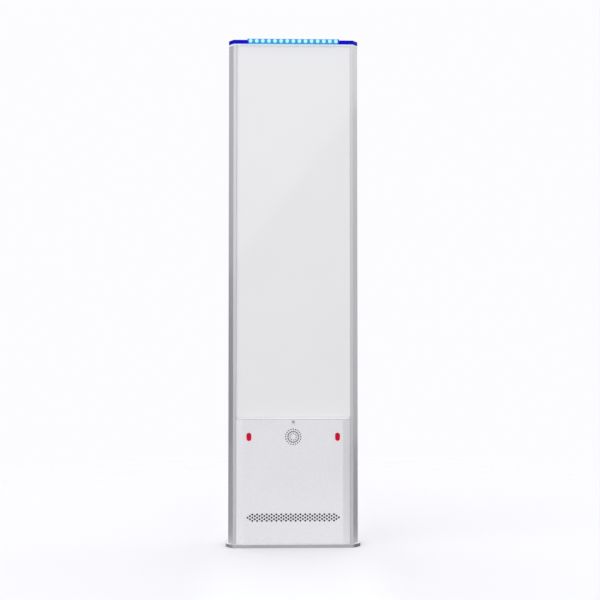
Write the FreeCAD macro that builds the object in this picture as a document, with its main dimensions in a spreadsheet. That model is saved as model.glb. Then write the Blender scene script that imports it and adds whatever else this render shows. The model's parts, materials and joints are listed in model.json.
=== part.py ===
import FreeCAD, Part
import Sketcher
import math
import os

# Free-standing security gate pedestal for a shop exit: two aluminium uprights
# on a steel base plate carry glossy panels, a lit top cap and a service bay
# with the reader, power supply, speaker and people-counting sensors.
# Frame: origin at the centre of the base plate's underside, +Z up,
# the front (service cover) faces -Y, +X to the right. Millimetres.

Vector = FreeCAD.Vector
X_AXIS, Y_AXIS, Z_AXIS = Vector(1, 0, 0), Vector(0, 1, 0), Vector(0, 0, 1)
os.makedirs("parts", exist_ok=True)
doc = FreeCAD.newDocument("security_gate")
sheet = doc.addObject("Spreadsheet::Sheet", "sizes")

SIZES = [
    # base plate
    ("base_half_width", 211), ("base_half_depth", 56), ("base_thick", 10),
    ("base_corner_x", 21), ("base_corner_y", 22), ("base_edge_bevel", 1),
    ("anchor_x", 125), ("anchor_y", 28), ("anchor_radius", 5.5),
    ("grommet_x", -50), ("grommet_hole_radius", 20), ("grommet_bore_radius", 12),
    ("conduit_x", 50), ("conduit_radius", 12.5),
    ("bolt_x", 165), ("bolt_y", 15), ("bolt_hole_radius", 3.1), ("bolt_tap_depth", 8),
    # upright section
    ("body_half_width", 204), ("body_half_depth", 45), ("body_top", 1579),
    ("lip_inner_x", 179), ("lip_outer_x", 188.7), ("corner_y", 27),
    ("wall", 2.5), ("groove_bottom_x", 186), ("groove_back_y", 38.25),
    ("web_front_y", 36), ("web_inner_x", 184), ("web_outer_x", 186.5), ("web_bevel", 2),
    ("chamber_x", 188.5), ("chamber_y", 41.2), ("chamber_corner_y", 26.1),
    ("screw_hole_radius", 2.1),
    # foot brackets
    ("foot_thick", 3), ("foot_fit", 0.1), ("foot_inner_x", 140), ("foot_half_depth", 28),
    ("foot_high", 80), ("tab_outer_x", 158), ("tab_front_y", 33), ("tab_back_y", 36),
    ("tab_high", 50), ("tab_hole_x", 148), ("tab_hole_z", 38),
    # panels
    ("panel_half_width", 185), ("panel_face_y", 42.4), ("panel_thick", 4),
    ("panel_bottom", 405.5), ("panel_top", 1578.5),
    # rails
    ("rail_face_y", 38.3), ("rail_half_width", 175), ("rail_wall", 2.5),
    ("midrail_bottom", 386), ("midrail_top", 425),
    ("toprail_bottom", 1548), ("rail_ear_x", 183.9), ("rail_ear_half_depth", 30),
    ("trim_face_y", 43.6), ("trim_half_width", 178), ("trim_bottom", 398.2), ("trim_top", 405.2),
    # service covers
    ("cover_half_width", 178.5), ("cover_plateau_half", 156), ("cover_face_y", 55),
    ("cover_edge_y", 45), ("cover_skirt_y", 33), ("cover_bottom", 12.9),
    ("cover_top", 397.6), ("cover_wall", 2.5), ("cover_top_lip_y", 40),
    ("hinge_y", -49), ("hinge_z", 18.5), ("hinge_lug_x", 90), ("hinge_pin_radius", 1.5),
    ("hinge_knuckle_radius", 3.2), ("hinge_lug_half", 7.6),
    ("vent_z", 93.5), ("vent_pitch", 15), ("vent_row", 4.9), ("vent_hole_radius", 3.2),
    ("speaker_z", 344.5), ("grille_inner", 9.9), ("grille_middle", 16.6),
    ("grille_outer", 23.8), ("grille_inner_hole", 1.6), ("grille_middle_hole", 2.1),
    ("grille_outer_hole", 1.95),
    ("sensor_x", 138.6), ("sensor_width", 15), ("sensor_height", 25.5),
    ("lock_z", 391), ("lock_shank_radius", 2), ("lock_head_radius", 4.5),
    ("lock_boss_y", 41), ("lock_boss_radius", 5), ("clip_hole_radius", 2.6),
    ("rear_upper_x", 130), ("rear_lower_x", 148), ("rear_lower_z", 38),
    ("rear_boss_radius", 4.5),
    # service bay
    ("flange_outer_x", 183.8),
    ("chassis_front_y", -8), ("chassis_thick", 2), ("chassis_bottom", 92), ("chassis_top", 382),
    ("chassis_flange_y", 14),
    ("board_left", -58), ("board_right", 165), ("board_bottom", 135), ("board_top", 262),
    ("board_front_y", -20), ("board_back_y", -18.4), ("board_hole_inset", 6),
    ("bracket_left", 48), ("bracket_right", 119), ("bracket_front_y", -32),
    ("bracket_thick", 2), ("trunnion_y", -31.5),
    ("switch_x", 62), ("knob_x", 85), ("button_x", 106), ("control_z", 294),
    ("reader_half_width", 100), ("reader_bottom", 150), ("reader_top", 300),
    ("reader_depth", 22), ("fin_x", 95), ("fin_thick", 2), ("fin_depth", 12), ("fin_inset", 2),
    # aerials
    ("aerial_one_z", 640), ("aerial_two_z", 1000), ("aerial_three_z", 1360), ("lead_x", 60),
    ("carrier_y", 6), ("carrier_thick", 1.5), ("carrier_flange_y", 24),
    ("carrier_bottom", 450), ("carrier_top", 1530),
    ("ground_half", 150), ("ground_front_y", -6), ("ground_back_y", -4),
    ("patch_half", 108), ("patch_front_y", -17.5), ("patch_back_y", -16),
    # top
    ("diffuser_low", 1579.2), ("diffuser_high", 1584.8),
    ("cap_low", 1585), ("cap_high", 1597), ("cap_half_width", 204.5), ("cap_half_depth", 48),
    ("cap_corner_x", 15), ("cap_corner_y", 19), ("cap_edge_radius", 2.5),
    ("cap_screw_x", 170), ("cap_screw_y", 22), ("cap_screw_clearance", 2.2),
    ("cap_screw_bore", 2.05), ("cap_recess_depth", 8.5),
    ("opening_half_width", 150), ("opening_half_depth", 33),
    ("lens_half_width", 145), ("lens_high", 1600), ("lens_face_y", 49.5),
    ("lamp_pitch", 19.3), ("lamp_count", 15), ("lamp_board_y", 36.6), ("lamp_face_y", 38.2),
]

GAP = 0.02   # play between surfaces that meet
SEAT = 0.05  # wider play behind parts mounted on a plate
SIDES = (("left", -1), ("right", 1))
FACES = (("front", -1), ("rear", 1))
CORNERS = [(-1, -1), (-1, 1), (1, -1), (1, 1)]

# side screws into the uprights: (y, z)
FOOT_SCREWS = [(-15, 55), (15, 55)]
MIDDLE_SCREWS = [(-20, 407), (20, 407)]
TOP_SCREWS = [(-20, 1563), (20, 1563)]
CHASSIS_SCREWS = [(5, 130), (5, 345)]
CARRIER_SCREWS = [(17, 480), (17, 1000), (17, 1500)]


# ------------------------------------------------------- sizes and expressions
class Driven:
    """A length together with the sheet expression that drives it."""

    def __init__(self, number, text):
        self.number = float(number)
        self.text = text

    def __add__(self, other):
        other = driven(other)
        return Driven(self.number + other.number, "(%s + %s)" % (self.text, other.text))

    def __radd__(self, other):
        return driven(other) + self

    def __sub__(self, other):
        other = driven(other)
        return Driven(self.number - other.number, "(%s - %s)" % (self.text, other.text))

    def __mul__(self, other):
        other = driven(other)
        return Driven(self.number * other.number, "(%s * %s)" % (self.text, other.text))

    def __rmul__(self, other):
        return driven(other) * self

    def __neg__(self):
        return Driven(-self.number, "(0 - %s)" % self.text)


def driven(value):
    if isinstance(value, Driven):
        return value
    return Driven(value, "%.6f" % value)


class Sizes:
    """One Driven attribute for each alias of the sheet."""


size = Sizes()
for row, (alias, number) in enumerate(SIZES, 1):
    sheet.set("A%d" % row, alias)
    sheet.set("B%d" % row, str(number))
    sheet.setAlias("B%d" % row, alias)
    setattr(size, alias, Driven(number, "sizes." + alias))
doc.recompute()


def around(centre, half):
    """Span of a given half length about a centre."""
    centre = driven(centre)
    return centre - half, centre + half


def mirrored(side, near, far):
    """Span from near to far on the positive side, or its mirror image."""
    near, far = driven(near), driven(far)
    return (near, far) if side > 0 else (-far, -near)


NODES = []


def keep(piece):
    """Mark a finished piece for export under its label."""
    NODES.append(piece)


# ---------------------------------------------------------------- PartDesign
# Sketches on XZ_Plane have their normal along -Y, so a positive offset
# lies in front of the origin and a negative one behind it.
def new_body(name):
    return doc.addObject("PartDesign::Body", name)


def origin_feature(body, role):
    return [part for part in body.Origin.OriginFeatures if part.Role == role][0]


def new_sketch(body, role, offset=0.0, name="outline"):
    sketch = body.newObject("Sketcher::SketchObject", body.Name + "_" + name)
    sketch.AttachmentSupport = [(origin_feature(body, role), "")]
    sketch.MapMode = "FlatFace"
    offset = driven(offset)
    sketch.AttachmentOffset = FreeCAD.Placement(Vector(0, 0, offset.number), FreeCAD.Rotation())
    sketch.setExpression("AttachmentOffset.Base.z", offset.text)
    return sketch


def constrain(sketch, value, *target):
    index = sketch.addConstraint(Sketcher.Constraint(*target, value.number))
    sketch.setExpression("Constraints[%d]" % index, value.text)


def locate(sketch, geometry, point, x, y):
    constrain(sketch, x, "DistanceX", -1, 1, geometry, point)
    constrain(sketch, y, "DistanceY", -1, 1, geometry, point)


def polygon(sketch, points):
    points = [(driven(x), driven(y)) for x, y in points]
    first = sketch.GeometryCount
    count = len(points)
    for i in range(count):
        start, end = [Vector(x.number, y.number, 0) for x, y in (points[i], points[(i + 1) % count])]
        sketch.addGeometry(Part.LineSegment(start, end), False)
    for i in range(count):
        sketch.addConstraint(
            Sketcher.Constraint("Coincident", first + i, 2, first + (i + 1) % count, 1))
    for i in range(count):
        locate(sketch, first + i, 1, *points[i])


def rectangle(sketch, x_span, y_span):
    (x0, x1), (y0, y1) = x_span, y_span
    polygon(sketch, [(x0, y0), (x1, y0), (x1, y1), (x0, y1)])


def octagon(half_width, half_depth, flat_x, flat_y):
    """Rectangle with cut corners; the cuts start at flat_x and flat_y."""
    return [(-flat_x, -half_depth), (flat_x, -half_depth), (half_width, -flat_y),
            (half_width, flat_y), (flat_x, half_depth), (-flat_x, half_depth),
            (-half_width, flat_y), (-half_width, -flat_y)]


def circle(sketch, x, y, radius):
    x, y, radius = driven(x), driven(y), driven(radius)
    ring = Part.Circle(Vector(x.number, y.number, 0), Z_AXIS, radius.number)
    geometry = sketch.addGeometry(ring, False)
    constrain(sketch, radius, "Radius", geometry)
    locate(sketch, geometry, 3, x, y)


def slot(sketch, x, y, width, height):
    """Upright slot with round ends; height is the total height."""
    x, y, width, height = driven(x), driven(y), driven(width), driven(height)
    radius, reach = width * 0.5, height * 0.5 - width * 0.5
    first = sketch.GeometryCount
    left, right = x.number - radius.number, x.number + radius.number
    low, high = y.number - reach.number, y.number + reach.number
    upper = Part.Circle(Vector(x.number, high, 0), Z_AXIS, radius.number)
    lower = Part.Circle(Vector(x.number, low, 0), Z_AXIS, radius.number)
    for part in (Part.ArcOfCircle(upper, 0, math.pi),
                 Part.LineSegment(Vector(left, high, 0), Vector(left, low, 0)),
                 Part.ArcOfCircle(lower, math.pi, 2 * math.pi),
                 Part.LineSegment(Vector(right, low, 0), Vector(right, high, 0))):
        sketch.addGeometry(part, False)
    for i in range(4):
        sketch.addConstraint(Sketcher.Constraint("Tangent", first + i, 2, first + (i + 1) % 4, 1))
    locate(sketch, first, 3, x, y + reach)
    constrain(sketch, radius, "Radius", first)
    constrain(sketch, y - reach, "DistanceY", -1, 1, first + 2, 3)


def extrude(kind, body, sketch, length, reverse, name):
    length = driven(length)
    feature = body.newObject("PartDesign::" + kind, body.Name + "_" + name)
    feature.Profile = sketch
    feature.Length = length.number
    feature.setExpression("Length", length.text)
    feature.Reversed = reverse
    doc.recompute()
    return feature


def pad(body, sketch, length, reverse=False, name="pad"):
    return extrude("Pad", body, sketch, length, reverse, name)


def pocket(body, sketch, length, reverse=False, name="pocket"):
    before = body.Shape.Volume
    feature = extrude("Pocket", body, sketch, length, reverse, name)
    if not body.Shape.Volume < before - 0.01:
        raise RuntimeError("%s cuts nothing" % feature.Name)
    return feature


def dress(body, kind, picked, amount, name):
    """Chamfer or Fillet the tip's edges for which picked(edge) holds."""
    amount = driven(amount)
    base = body.Tip
    names = ["Edge%d" % i for i, edge in enumerate(base.Shape.Edges, 1) if picked(edge)]
    if not names:
        raise RuntimeError("no edges for %s" % body.Name)
    feature = body.newObject("PartDesign::" + kind, body.Name + "_" + name)
    feature.Base = (base, names)
    length = "Radius" if kind == "Fillet" else "Size"
    setattr(feature, length, amount.number)
    feature.setExpression(length, amount.text)
    doc.recompute()


def at_height(height):
    return lambda edge: len(edge.Vertexes) > 1 and all(
        abs(vertex.Point.z - height.number) < 1e-4 for vertex in edge.Vertexes)


def loft(body, kind, near, far, name):
    feature = body.newObject("PartDesign::" + kind, body.Name + "_" + name)
    feature.Profile = near
    feature.Sections = [far]
    feature.Ruled = True
    doc.recompute()


def pattern(body, kind, original, axis, extent, count):
    """Repeat a feature: axis and extent are (property, value) pairs."""
    feature = body.newObject("PartDesign::" + kind, body.Name + "_pattern")
    feature.Originals = [original]
    setattr(feature, axis[0], (origin_feature(body, axis[1]), [""]))
    setattr(feature, extent[0], extent[1])
    feature.Occurrences = count
    body.Tip = feature
    doc.recompute()


def place(body, x, z):
    x, z = driven(x), driven(z)
    body.Placement = FreeCAD.Placement(Vector(x.number, 0, z.number), FreeCAD.Rotation())
    body.setExpression("Placement.Base.x", x.text)
    body.setExpression("Placement.Base.z", z.text)
    doc.recompute()


def turned(name, role, points, x, z):
    """Body of revolution about the vertical axis of its sketch."""
    body = new_body(name)
    sketch = new_sketch(body, role)
    polygon(sketch, points)
    turn = body.newObject("PartDesign::Revolution", name + "_turn")
    turn.Profile = sketch
    turn.ReferenceAxis = (sketch, ["V_Axis"])
    turn.Angle = 360
    place(body, x, z)
    keep(body)


# ------------------------------------------------------------- Part workbench
def drive(piece, lengths, start, turn):
    """Set and bind a primitive's lengths and the place it starts from."""
    for name, value in lengths:
        setattr(piece, name, value.number)
        piece.setExpression(name, value.text)
    start = [driven(value) for value in start]
    piece.Placement = FreeCAD.Placement(Vector(*[value.number for value in start]), turn)
    for axis, value in zip("xyz", start):
        piece.setExpression("Placement.Base." + axis, value.text)
    return piece


def box(name, x_span, y_span, z_span):
    spans = [(driven(low), driven(high)) for low, high in (x_span, y_span, z_span)]
    lengths = [(edge, high - low) for edge, (low, high) in zip(("Length", "Width", "Height"), spans)]
    start = [low for low, high in spans]
    return drive(doc.addObject("Part::Box", name), lengths, start, FreeCAD.Rotation())


TURN = {"x": FreeCAD.Rotation(Y_AXIS, 90), "y": FreeCAD.Rotation(X_AXIS, -90),
        "z": FreeCAD.Rotation()}


def rod(name, axis, start, radius, length):
    """Cylinder from start (x, y, z) along +axis."""
    lengths = [("Radius", driven(radius)), ("Height", driven(length))]
    return drive(doc.addObject("Part::Cylinder", name), lengths, start, TURN[axis])


def post(name, x, z, radius, front, back):
    """Rod along Y between two y values."""
    return rod(name, "y", (x, front, z), radius, driven(back) - front)


def fuse(name, pieces):
    result = doc.addObject("Part::MultiFuse", name)
    result.Shapes = pieces
    result.Refine = True
    return result


def cut(name, base, tools):
    tool = tools[0]
    if len(tools) > 1:
        tool = doc.addObject("Part::MultiFuse", name + "_tools")
        tool.Shapes = tools
    result = doc.addObject("Part::Cut", name)
    result.Base, result.Tool = base, tool
    result.Refine = True
    return result


def keep_group(name, pieces):
    """Keep several separate solids under one name."""
    result = doc.addObject("Part::Compound", name)
    result.Links = pieces
    keep(result)


def keep_shape(name, shape):
    result = doc.addObject("Part::Feature", name)
    result.Shape = shape
    keep(result)


def pan_screw(direction, seat, head_radius, head_height, radius, length):
    """Pan-head screw with a cross recess; seat is the centre of the head's
    bearing face and the shank runs along direction."""
    seat = Vector(*seat)

    def end_rim(solid, centre):
        return [edge for edge in solid.Edges
                if len(edge.Vertexes) == 1 and (edge.CenterOfMass - centre).Length < 1e-6]

    head = Part.makeCylinder(head_radius, head_height, seat, direction * -1)
    head = head.makeFillet(min(head_height * 0.45, 0.9), end_rim(head, seat - direction * head_height))
    shank = Part.makeCylinder(radius, length, seat, direction)
    shank = shank.makeChamfer(radius * 0.3, end_rim(shank, seat + direction * length))
    solid = head.fuse(shank).removeSplitter()
    up = X_AXIS if direction.z else Z_AXIS
    across = direction.cross(up)
    slot_length, slot_width = head_radius * 1.2, 0.8
    for along, over in ((up, across), (across, up)):
        sides = (along * slot_length, over * slot_width, direction * -head_height)
        matrix = FreeCAD.Matrix(*[side.x for side in sides], 0, *[side.y for side in sides], 0,
                                *[side.z for side in sides], 0, 0, 0, 0, 1)
        cutter = Part.makeBox(1, 1, 1).transformGeometry(matrix)
        cutter.translate(seat - direction * (head_height * 0.5) - along * (slot_length / 2)
                         - over * (slot_width / 2))
        solid = solid.cut(cutter)
    return solid


def cable(points, radius, bend):
    """Round cable swept along straight runs joined by arcs of the bend radius."""
    points = [Vector(*point) for point in points]
    edges, here = [], points[0]
    for i in range(1, len(points) - 1):
        back, ahead = points[i - 1] - points[i], points[i + 1] - points[i]
        reach = min(back.Length, ahead.Length) * 0.48
        back.normalize()
        ahead.normalize()
        half_angle = back.getAngle(ahead) / 2
        trim = min(bend / math.tan(half_angle), reach)
        arc_radius = trim * math.tan(half_angle)
        inward = back + ahead
        inward.normalize()
        start, end = points[i] + back * trim, points[i] + ahead * trim
        middle = points[i] + inward * (arc_radius / math.sin(half_angle) - arc_radius)
        edges += [Part.makeLine(here, start), Part.Arc(start, middle, end).toShape()]
        here = end
    edges.append(Part.makeLine(here, points[-1]))
    ring = Part.Wire([Part.makeCircle(radius, points[0], points[1] - points[0])])
    return Part.Wire(edges).makePipeShell([ring], True, False)


def side_holes(name, places, outer_x):
    """Screw holes through the flanges or ears that end at outer_x."""
    holes = []
    for i, (y, z) in enumerate(places):
        for side, x in (("left", -outer_x - 1), ("right", outer_x - 4)):
            holes.append(rod("%s_%s_hole%d" % (name, side, i), "x", (x, y, z),
                             size.screw_hole_radius, 5))
    return holes


# =================================================================== BASE
body = new_body("base_plate")
outline = new_sketch(body, "XY_Plane")
polygon(outline, octagon(size.base_half_width, size.base_half_depth,
                         size.base_half_width - size.base_corner_x,
                         size.base_half_depth - size.base_corner_y))
pad(body, outline, size.base_thick)
dress(body, "Chamfer", at_height(size.base_thick), size.base_edge_bevel, "chamfer")
holes = new_sketch(body, "XY_Plane", 0, "holes")
for side, end in CORNERS:
    circle(holes, side * size.anchor_x, end * size.anchor_y, size.anchor_radius)
circle(holes, size.grommet_x, 0, size.grommet_hole_radius)
circle(holes, size.conduit_x, 0, size.conduit_radius)
pocket(body, holes, size.base_thick, True)
taps = new_sketch(body, "XY_Plane", size.base_thick, "taps")
for side, end in CORNERS:
    circle(taps, side * size.bolt_x, end * size.bolt_y, size.bolt_hole_radius)
pocket(body, taps, size.bolt_tap_depth, False, "taps_cut")
keep(body)

# rubber grommet for the mains lead: flange above the plate, sleeve in the hole
bore, sleeve, flange = size.grommet_bore_radius, size.grommet_hole_radius, size.base_thick
turned("cable_grommet", "XZ_Plane", [  # (radius, z)
    (bore, 0.5), (sleeve - 0.1, 0.5), (sleeve - 0.1, flange + SEAT), (sleeve + 4, flange + SEAT),
    (sleeve + 4, flange + 1.6), (sleeve + 2.5, flange + 3), (bore + 1, flange + 3),
    (bore, flange + 2)], size.grommet_x, 0)


# =================================================================== UPRIGHTS
def both_halves(rear):
    """Close a rear half outline with its mirror image in the front half."""
    return rear + [(x, -y) for x, y in reversed(rear)]


def upright(name, side):
    depth, lip, groove = size.body_half_depth, size.lip_inner_x, size.groove_bottom_x
    inside = size.body_half_width - size.wall
    section = both_halves([
        (size.body_half_width, size.corner_y), (size.lip_outer_x, depth), (lip, depth),
        (lip, depth - size.wall), (groove, depth - size.wall), (groove, size.groove_back_y),
        (lip, size.groove_back_y), (lip, size.web_front_y), (size.web_inner_x, size.web_front_y)])
    chamber = both_halves([
        (inside, size.chamber_corner_y), (size.chamber_x, size.chamber_y),
        (size.chamber_x, size.web_front_y), (size.web_outer_x, size.web_front_y - size.web_bevel)])
    body = new_body(name)
    outline = new_sketch(body, "XY_Plane", size.base_thick + GAP)
    for points in (section, chamber):
        polygon(outline, [(side * x, y) for x, y in points])
    pad(body, outline, size.body_top - size.base_thick - GAP)
    holes = new_sketch(body, "YZ_Plane", side * (size.web_inner_x - 1), "screw_holes")
    for y, z in FOOT_SCREWS + MIDDLE_SCREWS + TOP_SCREWS + CHASSIS_SCREWS + CARRIER_SCREWS:
        circle(holes, y, z, size.screw_hole_radius)
    pocket(body, holes, 4.5, side > 0)
    keep(body)


for label, side in SIDES:
    upright(label + "_upright", side)

foot_bottom = size.base_thick + 2 * GAP
foot_top = foot_bottom + size.foot_thick
foot_outer_x = size.web_inner_x - size.foot_fit


def foot_bracket(name, side):
    depth = around(0, size.foot_half_depth)
    tab = mirrored(side, size.foot_inner_x, size.tab_outer_x)
    pieces = [
        box(name + "_upstand", mirrored(side, foot_outer_x - size.foot_thick, foot_outer_x),
            depth, (foot_bottom, size.foot_high)),
        box(name + "_foot", mirrored(side, size.foot_inner_x, foot_outer_x),
            depth, (foot_bottom, foot_top)),
        box(name + "_tongue", tab, (size.foot_half_depth, size.tab_back_y), (foot_bottom, foot_top)),
        box(name + "_tab", tab, (size.tab_front_y, size.tab_back_y), (foot_bottom, size.tab_high))]
    holes = [rod(name + "_side_hole%d" % i, "x", (side * 182.5 - 3, y, z),
                 size.screw_hole_radius, 6) for i, (y, z) in enumerate(FOOT_SCREWS)]
    holes += [rod(name + "_bolt_hole%d" % i, "z", (side * size.bolt_x, end * size.bolt_y, 5),
                  size.bolt_hole_radius, 12) for i, end in enumerate((-1, 1))]
    holes.append(rod(name + "_tab_hole", "y", (side * size.tab_hole_x, 30, size.tab_hole_z),
                     size.screw_hole_radius, 8))
    keep(cut(name, fuse(name + "_bent", pieces), holes))


for label, side in SIDES:
    foot_bracket(label + "_foot_bracket", side)

keep_shape("base_bolts", Part.Compound([
    pan_screw(Z_AXIS * -1, (side * size.bolt_x.number, end * size.bolt_y.number,
                            foot_top.number + GAP),
              head_radius=5, head_height=3.5, radius=3.0, length=10)
    for side, end in CORNERS]))


# =================================================================== RAILS
def rail(name, bottom, top, screws, window, pieces, holes):
    """Folded rail with end ears and a window in its top; pieces are added
    to it and holes are cut from it. window is (x span, y span)."""
    face, wall, end = size.rail_face_y, size.rail_wall, size.rail_half_width
    ear, ear_depth = size.rail_ear_x, around(0, size.rail_ear_half_depth)
    width, height, flange, ear_height = around(0, end), (bottom, top), (top - wall, top), (bottom + 6, top)
    folded = [box(name + "_front", width, (-face, -face + wall), height),
              box(name + "_rear", width, (face - wall, face), height),
              box(name + "_top", width, around(0, face), flange),
              box(name + "_left_top", (-ear, -end), ear_depth, flange),
              box(name + "_right_top", (end, ear), ear_depth, flange),
              box(name + "_left_ear", (-ear, -ear + wall), ear_depth, ear_height),
              box(name + "_right_ear", (ear - wall, ear), ear_depth, ear_height)]
    opening = box(name + "_window", *window, (top - wall - 1, top + 1))
    holes = side_holes(name, screws, ear) + [opening] + holes
    keep(cut(name, fuse(name + "_folded", folded + pieces), holes))


# The middle rail carries a nosing under each panel, proud of it, that closes
# the joint above the cover, and takes the upper screws of both covers.
nosings = [box("middle_rail_%s_nosing" % label, around(0, size.trim_half_width),
               mirrored(side, size.rail_face_y, size.trim_face_y),
               (size.trim_bottom, size.trim_top)) for label, side in FACES]
cover_holes = [rod("middle_rail_lock_hole", "y", (0, -39.5, size.lock_z), size.clip_hole_radius, 5)]
cover_holes += [rod("middle_rail_%s_cover_hole" % label, "y",
                    (side * size.rear_upper_x, 34.5, size.lock_z), size.screw_hole_radius, 5)
                for label, side in SIDES]
rail("middle_rail", size.midrail_bottom, size.midrail_top, MIDDLE_SCREWS,
     ((-80, 80), (-14, 22)), nosings, cover_holes)

CAP_SCREWS = [(side * size.cap_screw_x, end * size.cap_screw_y) for side, end in CORNERS]
cap_holes = [rod("top_rail_cap_hole%d" % i, "z", (x, y, size.body_top - size.rail_wall - 1),
                 size.cap_screw_clearance, 5) for i, (x, y) in enumerate(CAP_SCREWS)]
rail("top_rail", size.toprail_bottom, size.body_top, TOP_SCREWS,
     ((-125, -75), (-32, 32)), [], cap_holes)

# spring nut behind the middle rail's front that takes the cover's captive screw
plate = box("clip_nut_plate", (-8, 8), (-size.rail_face_y + size.rail_wall + GAP, -33.3),
            around(size.lock_z, 7))
keep(cut("clip_nut", plate,
         [rod("clip_nut_hole", "y", (0, -40, size.lock_z), size.clip_hole_radius, 12)]))

# =================================================================== PANELS
for name, offset in (("front_panel", size.panel_face_y),
                     ("rear_panel", size.panel_thick - size.panel_face_y)):
    body = new_body(name)
    outline = new_sketch(body, "XZ_Plane", offset)
    rectangle(outline, around(0, size.panel_half_width), (size.panel_bottom, size.panel_top))
    pad(body, outline, size.panel_thick, True)
    keep(body)


# =================================================================== COVERS
# facing is the sign of a cover's sketch offset: 1 for the front, -1 for the rear
def cover_shell(name, facing):
    """Bevelled service cover: outer frustum and skirt, hollowed from behind."""
    half, plateau, wall = size.cover_half_width, size.cover_plateau_half, size.cover_wall
    face, edge, skirt = size.cover_face_y, size.cover_edge_y, size.cover_skirt_y
    bottom, top = size.cover_bottom, size.cover_top
    outer_height = (bottom, top)
    inner_height = (bottom - 4, top - wall)  # runs out of the open bottom
    body = new_body(name)

    def layer(y, half_width, height, label):
        sketch = new_sketch(body, "XZ_Plane", facing * y, label)
        rectangle(sketch, around(0, half_width), height)
        return sketch

    outline = layer(skirt, half, outer_height, "skirt")
    pad(body, outline, edge - skirt, facing < 0, "skirt_pad")
    near = layer(edge, half, outer_height, "edge")
    far = layer(face, plateau, outer_height, "plateau")
    loft(body, "AdditiveLoft", near, far, "bevel")
    near = layer(edge - 0.01, half - wall, inner_height, "inner_edge")
    far = layer(face - wall, plateau - 1, inner_height, "inner_plateau")
    loft(body, "SubtractiveLoft", near, far, "hollow")
    outline = layer(skirt - 1, half - wall, inner_height, "inner_skirt")
    pocket(body, outline, edge - skirt + 1, facing > 0, "skirt_cut")
    # the top wall stops short of the skirt's back edge
    outline = layer(skirt - 1, half + 1, (top - wall - 2, top + 2), "top_trim")
    pocket(body, outline, size.cover_top_lip_y - skirt + 1, facing > 0, "top_trim_cut")
    return body


def cut_openings(body, facing, grille):
    """Vent rows of a cover and, on request, the speaker grille."""
    sketch = new_sketch(body, "XZ_Plane", facing * (size.cover_face_y + 1), "openings")

    def hole(x, z, radius):
        return sketch.addGeometry(Part.Circle(Vector(x, z, 0), Z_AXIS, radius), False)

    radius = size.vent_hole_radius
    for row, count in enumerate((18, 19, 20, 19, 18)):
        z = size.vent_z.number + (row - 2) * size.vent_row.number
        for i in range(count):
            x = (i - (count - 1) / 2.0) * size.vent_pitch.number
            geometry = hole(x, z, radius.number)
            if row == 0 and i == 0:
                constrain(sketch, radius, "Radius", geometry)
    if grille:
        for ring, ring_hole, count in ((size.grille_inner, size.grille_inner_hole, 10),
                                       (size.grille_middle, size.grille_middle_hole, 20),
                                       (size.grille_outer, size.grille_outer_hole, 20)):
            for i in range(count):
                angle = 2 * math.pi * i / count + math.pi / 2
                hole(ring.number * math.cos(angle),
                     size.speaker_z.number + ring.number * math.sin(angle), ring_hole.number)
    pocket(body, sketch, 6, facing < 0, "openings_cut")


hinge_y, hinge_z, knuckle = size.hinge_y, size.hinge_z, size.hinge_knuckle_radius
lug_width = 2 * size.hinge_lug_half

body = cover_shell("front_cover", 1)
# hinge lugs inside the bottom edge, one near each end
for label, side in SIDES:
    start = side * size.hinge_lug_x - size.hinge_lug_half
    sketch = new_sketch(body, "YZ_Plane", start, label + "_lug")
    rectangle(sketch, (-size.cover_face_y + 1, hinge_y), around(hinge_z, knuckle))
    pad(body, sketch, lug_width, False, label + "_lug_pad")
    sketch = new_sketch(body, "YZ_Plane", start, label + "_knuckle")
    circle(sketch, hinge_y, hinge_z, knuckle)
    pad(body, sketch, lug_width, False, label + "_knuckle_pad")
    sketch = new_sketch(body, "YZ_Plane", start - 1, label + "_pin_hole")
    circle(sketch, hinge_y, hinge_z, size.hinge_pin_radius + 0.06)
    pocket(body, sketch, lug_width + 2, True, label + "_pin_cut")
# boss for the captive screw
sketch = new_sketch(body, "XZ_Plane", size.lock_boss_y, "boss")
circle(sketch, 0, size.lock_z, size.lock_boss_radius)
pad(body, sketch, size.cover_face_y - 1 - size.lock_boss_y, False, "boss_pad")
sketch = new_sketch(body, "XZ_Plane", size.lock_boss_y - 1, "boss_hole")
circle(sketch, 0, size.lock_z, size.lock_shank_radius + 0.05)
pocket(body, sketch, 20, True, "boss_cut")
sketch = new_sketch(body, "XZ_Plane", size.cover_face_y + 1, "windows")
for label, side in SIDES:
    slot(sketch, side * size.sensor_x, size.speaker_z, size.sensor_width, size.sensor_height)
pocket(body, sketch, 6, False, "window_cut")
cut_openings(body, 1, grille=True)
keep(body)

# rear cover screws: (x, z, y of the boss's inner end)
REAR_SCREWS = [(side * x, z, y) for x, z, y in ((size.rear_upper_x, size.lock_z, 40.0),
                                                (size.rear_lower_x, size.rear_lower_z, 36.3))
               for side in (-1, 1)]
body = cover_shell("rear_cover", -1)
for i, (x, z, y) in enumerate(REAR_SCREWS):
    sketch = new_sketch(body, "XZ_Plane", -y, "boss%d" % i)
    circle(sketch, x, z, size.rear_boss_radius)
    pad(body, sketch, size.cover_face_y - 1 - y, True, "boss_pad%d" % i)
sketch = new_sketch(body, "XZ_Plane", -35, "boss_holes")
for x, z, y in REAR_SCREWS:
    circle(sketch, x, z, size.screw_hole_radius)
pocket(body, sketch, 25, False, "boss_cut")
cut_openings(body, -1, grille=False)
keep(body)
cover_y = size.cover_face_y.number
keep_shape("rear_cover_screws", Part.Compound([
    pan_screw(Y_AXIS * -1, (x.number, cover_y + GAP, z.number), head_radius=3.6, head_height=2.0,
              radius=2.0, length=cover_y - y + 8) for x, z, y in REAR_SCREWS]))


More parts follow.
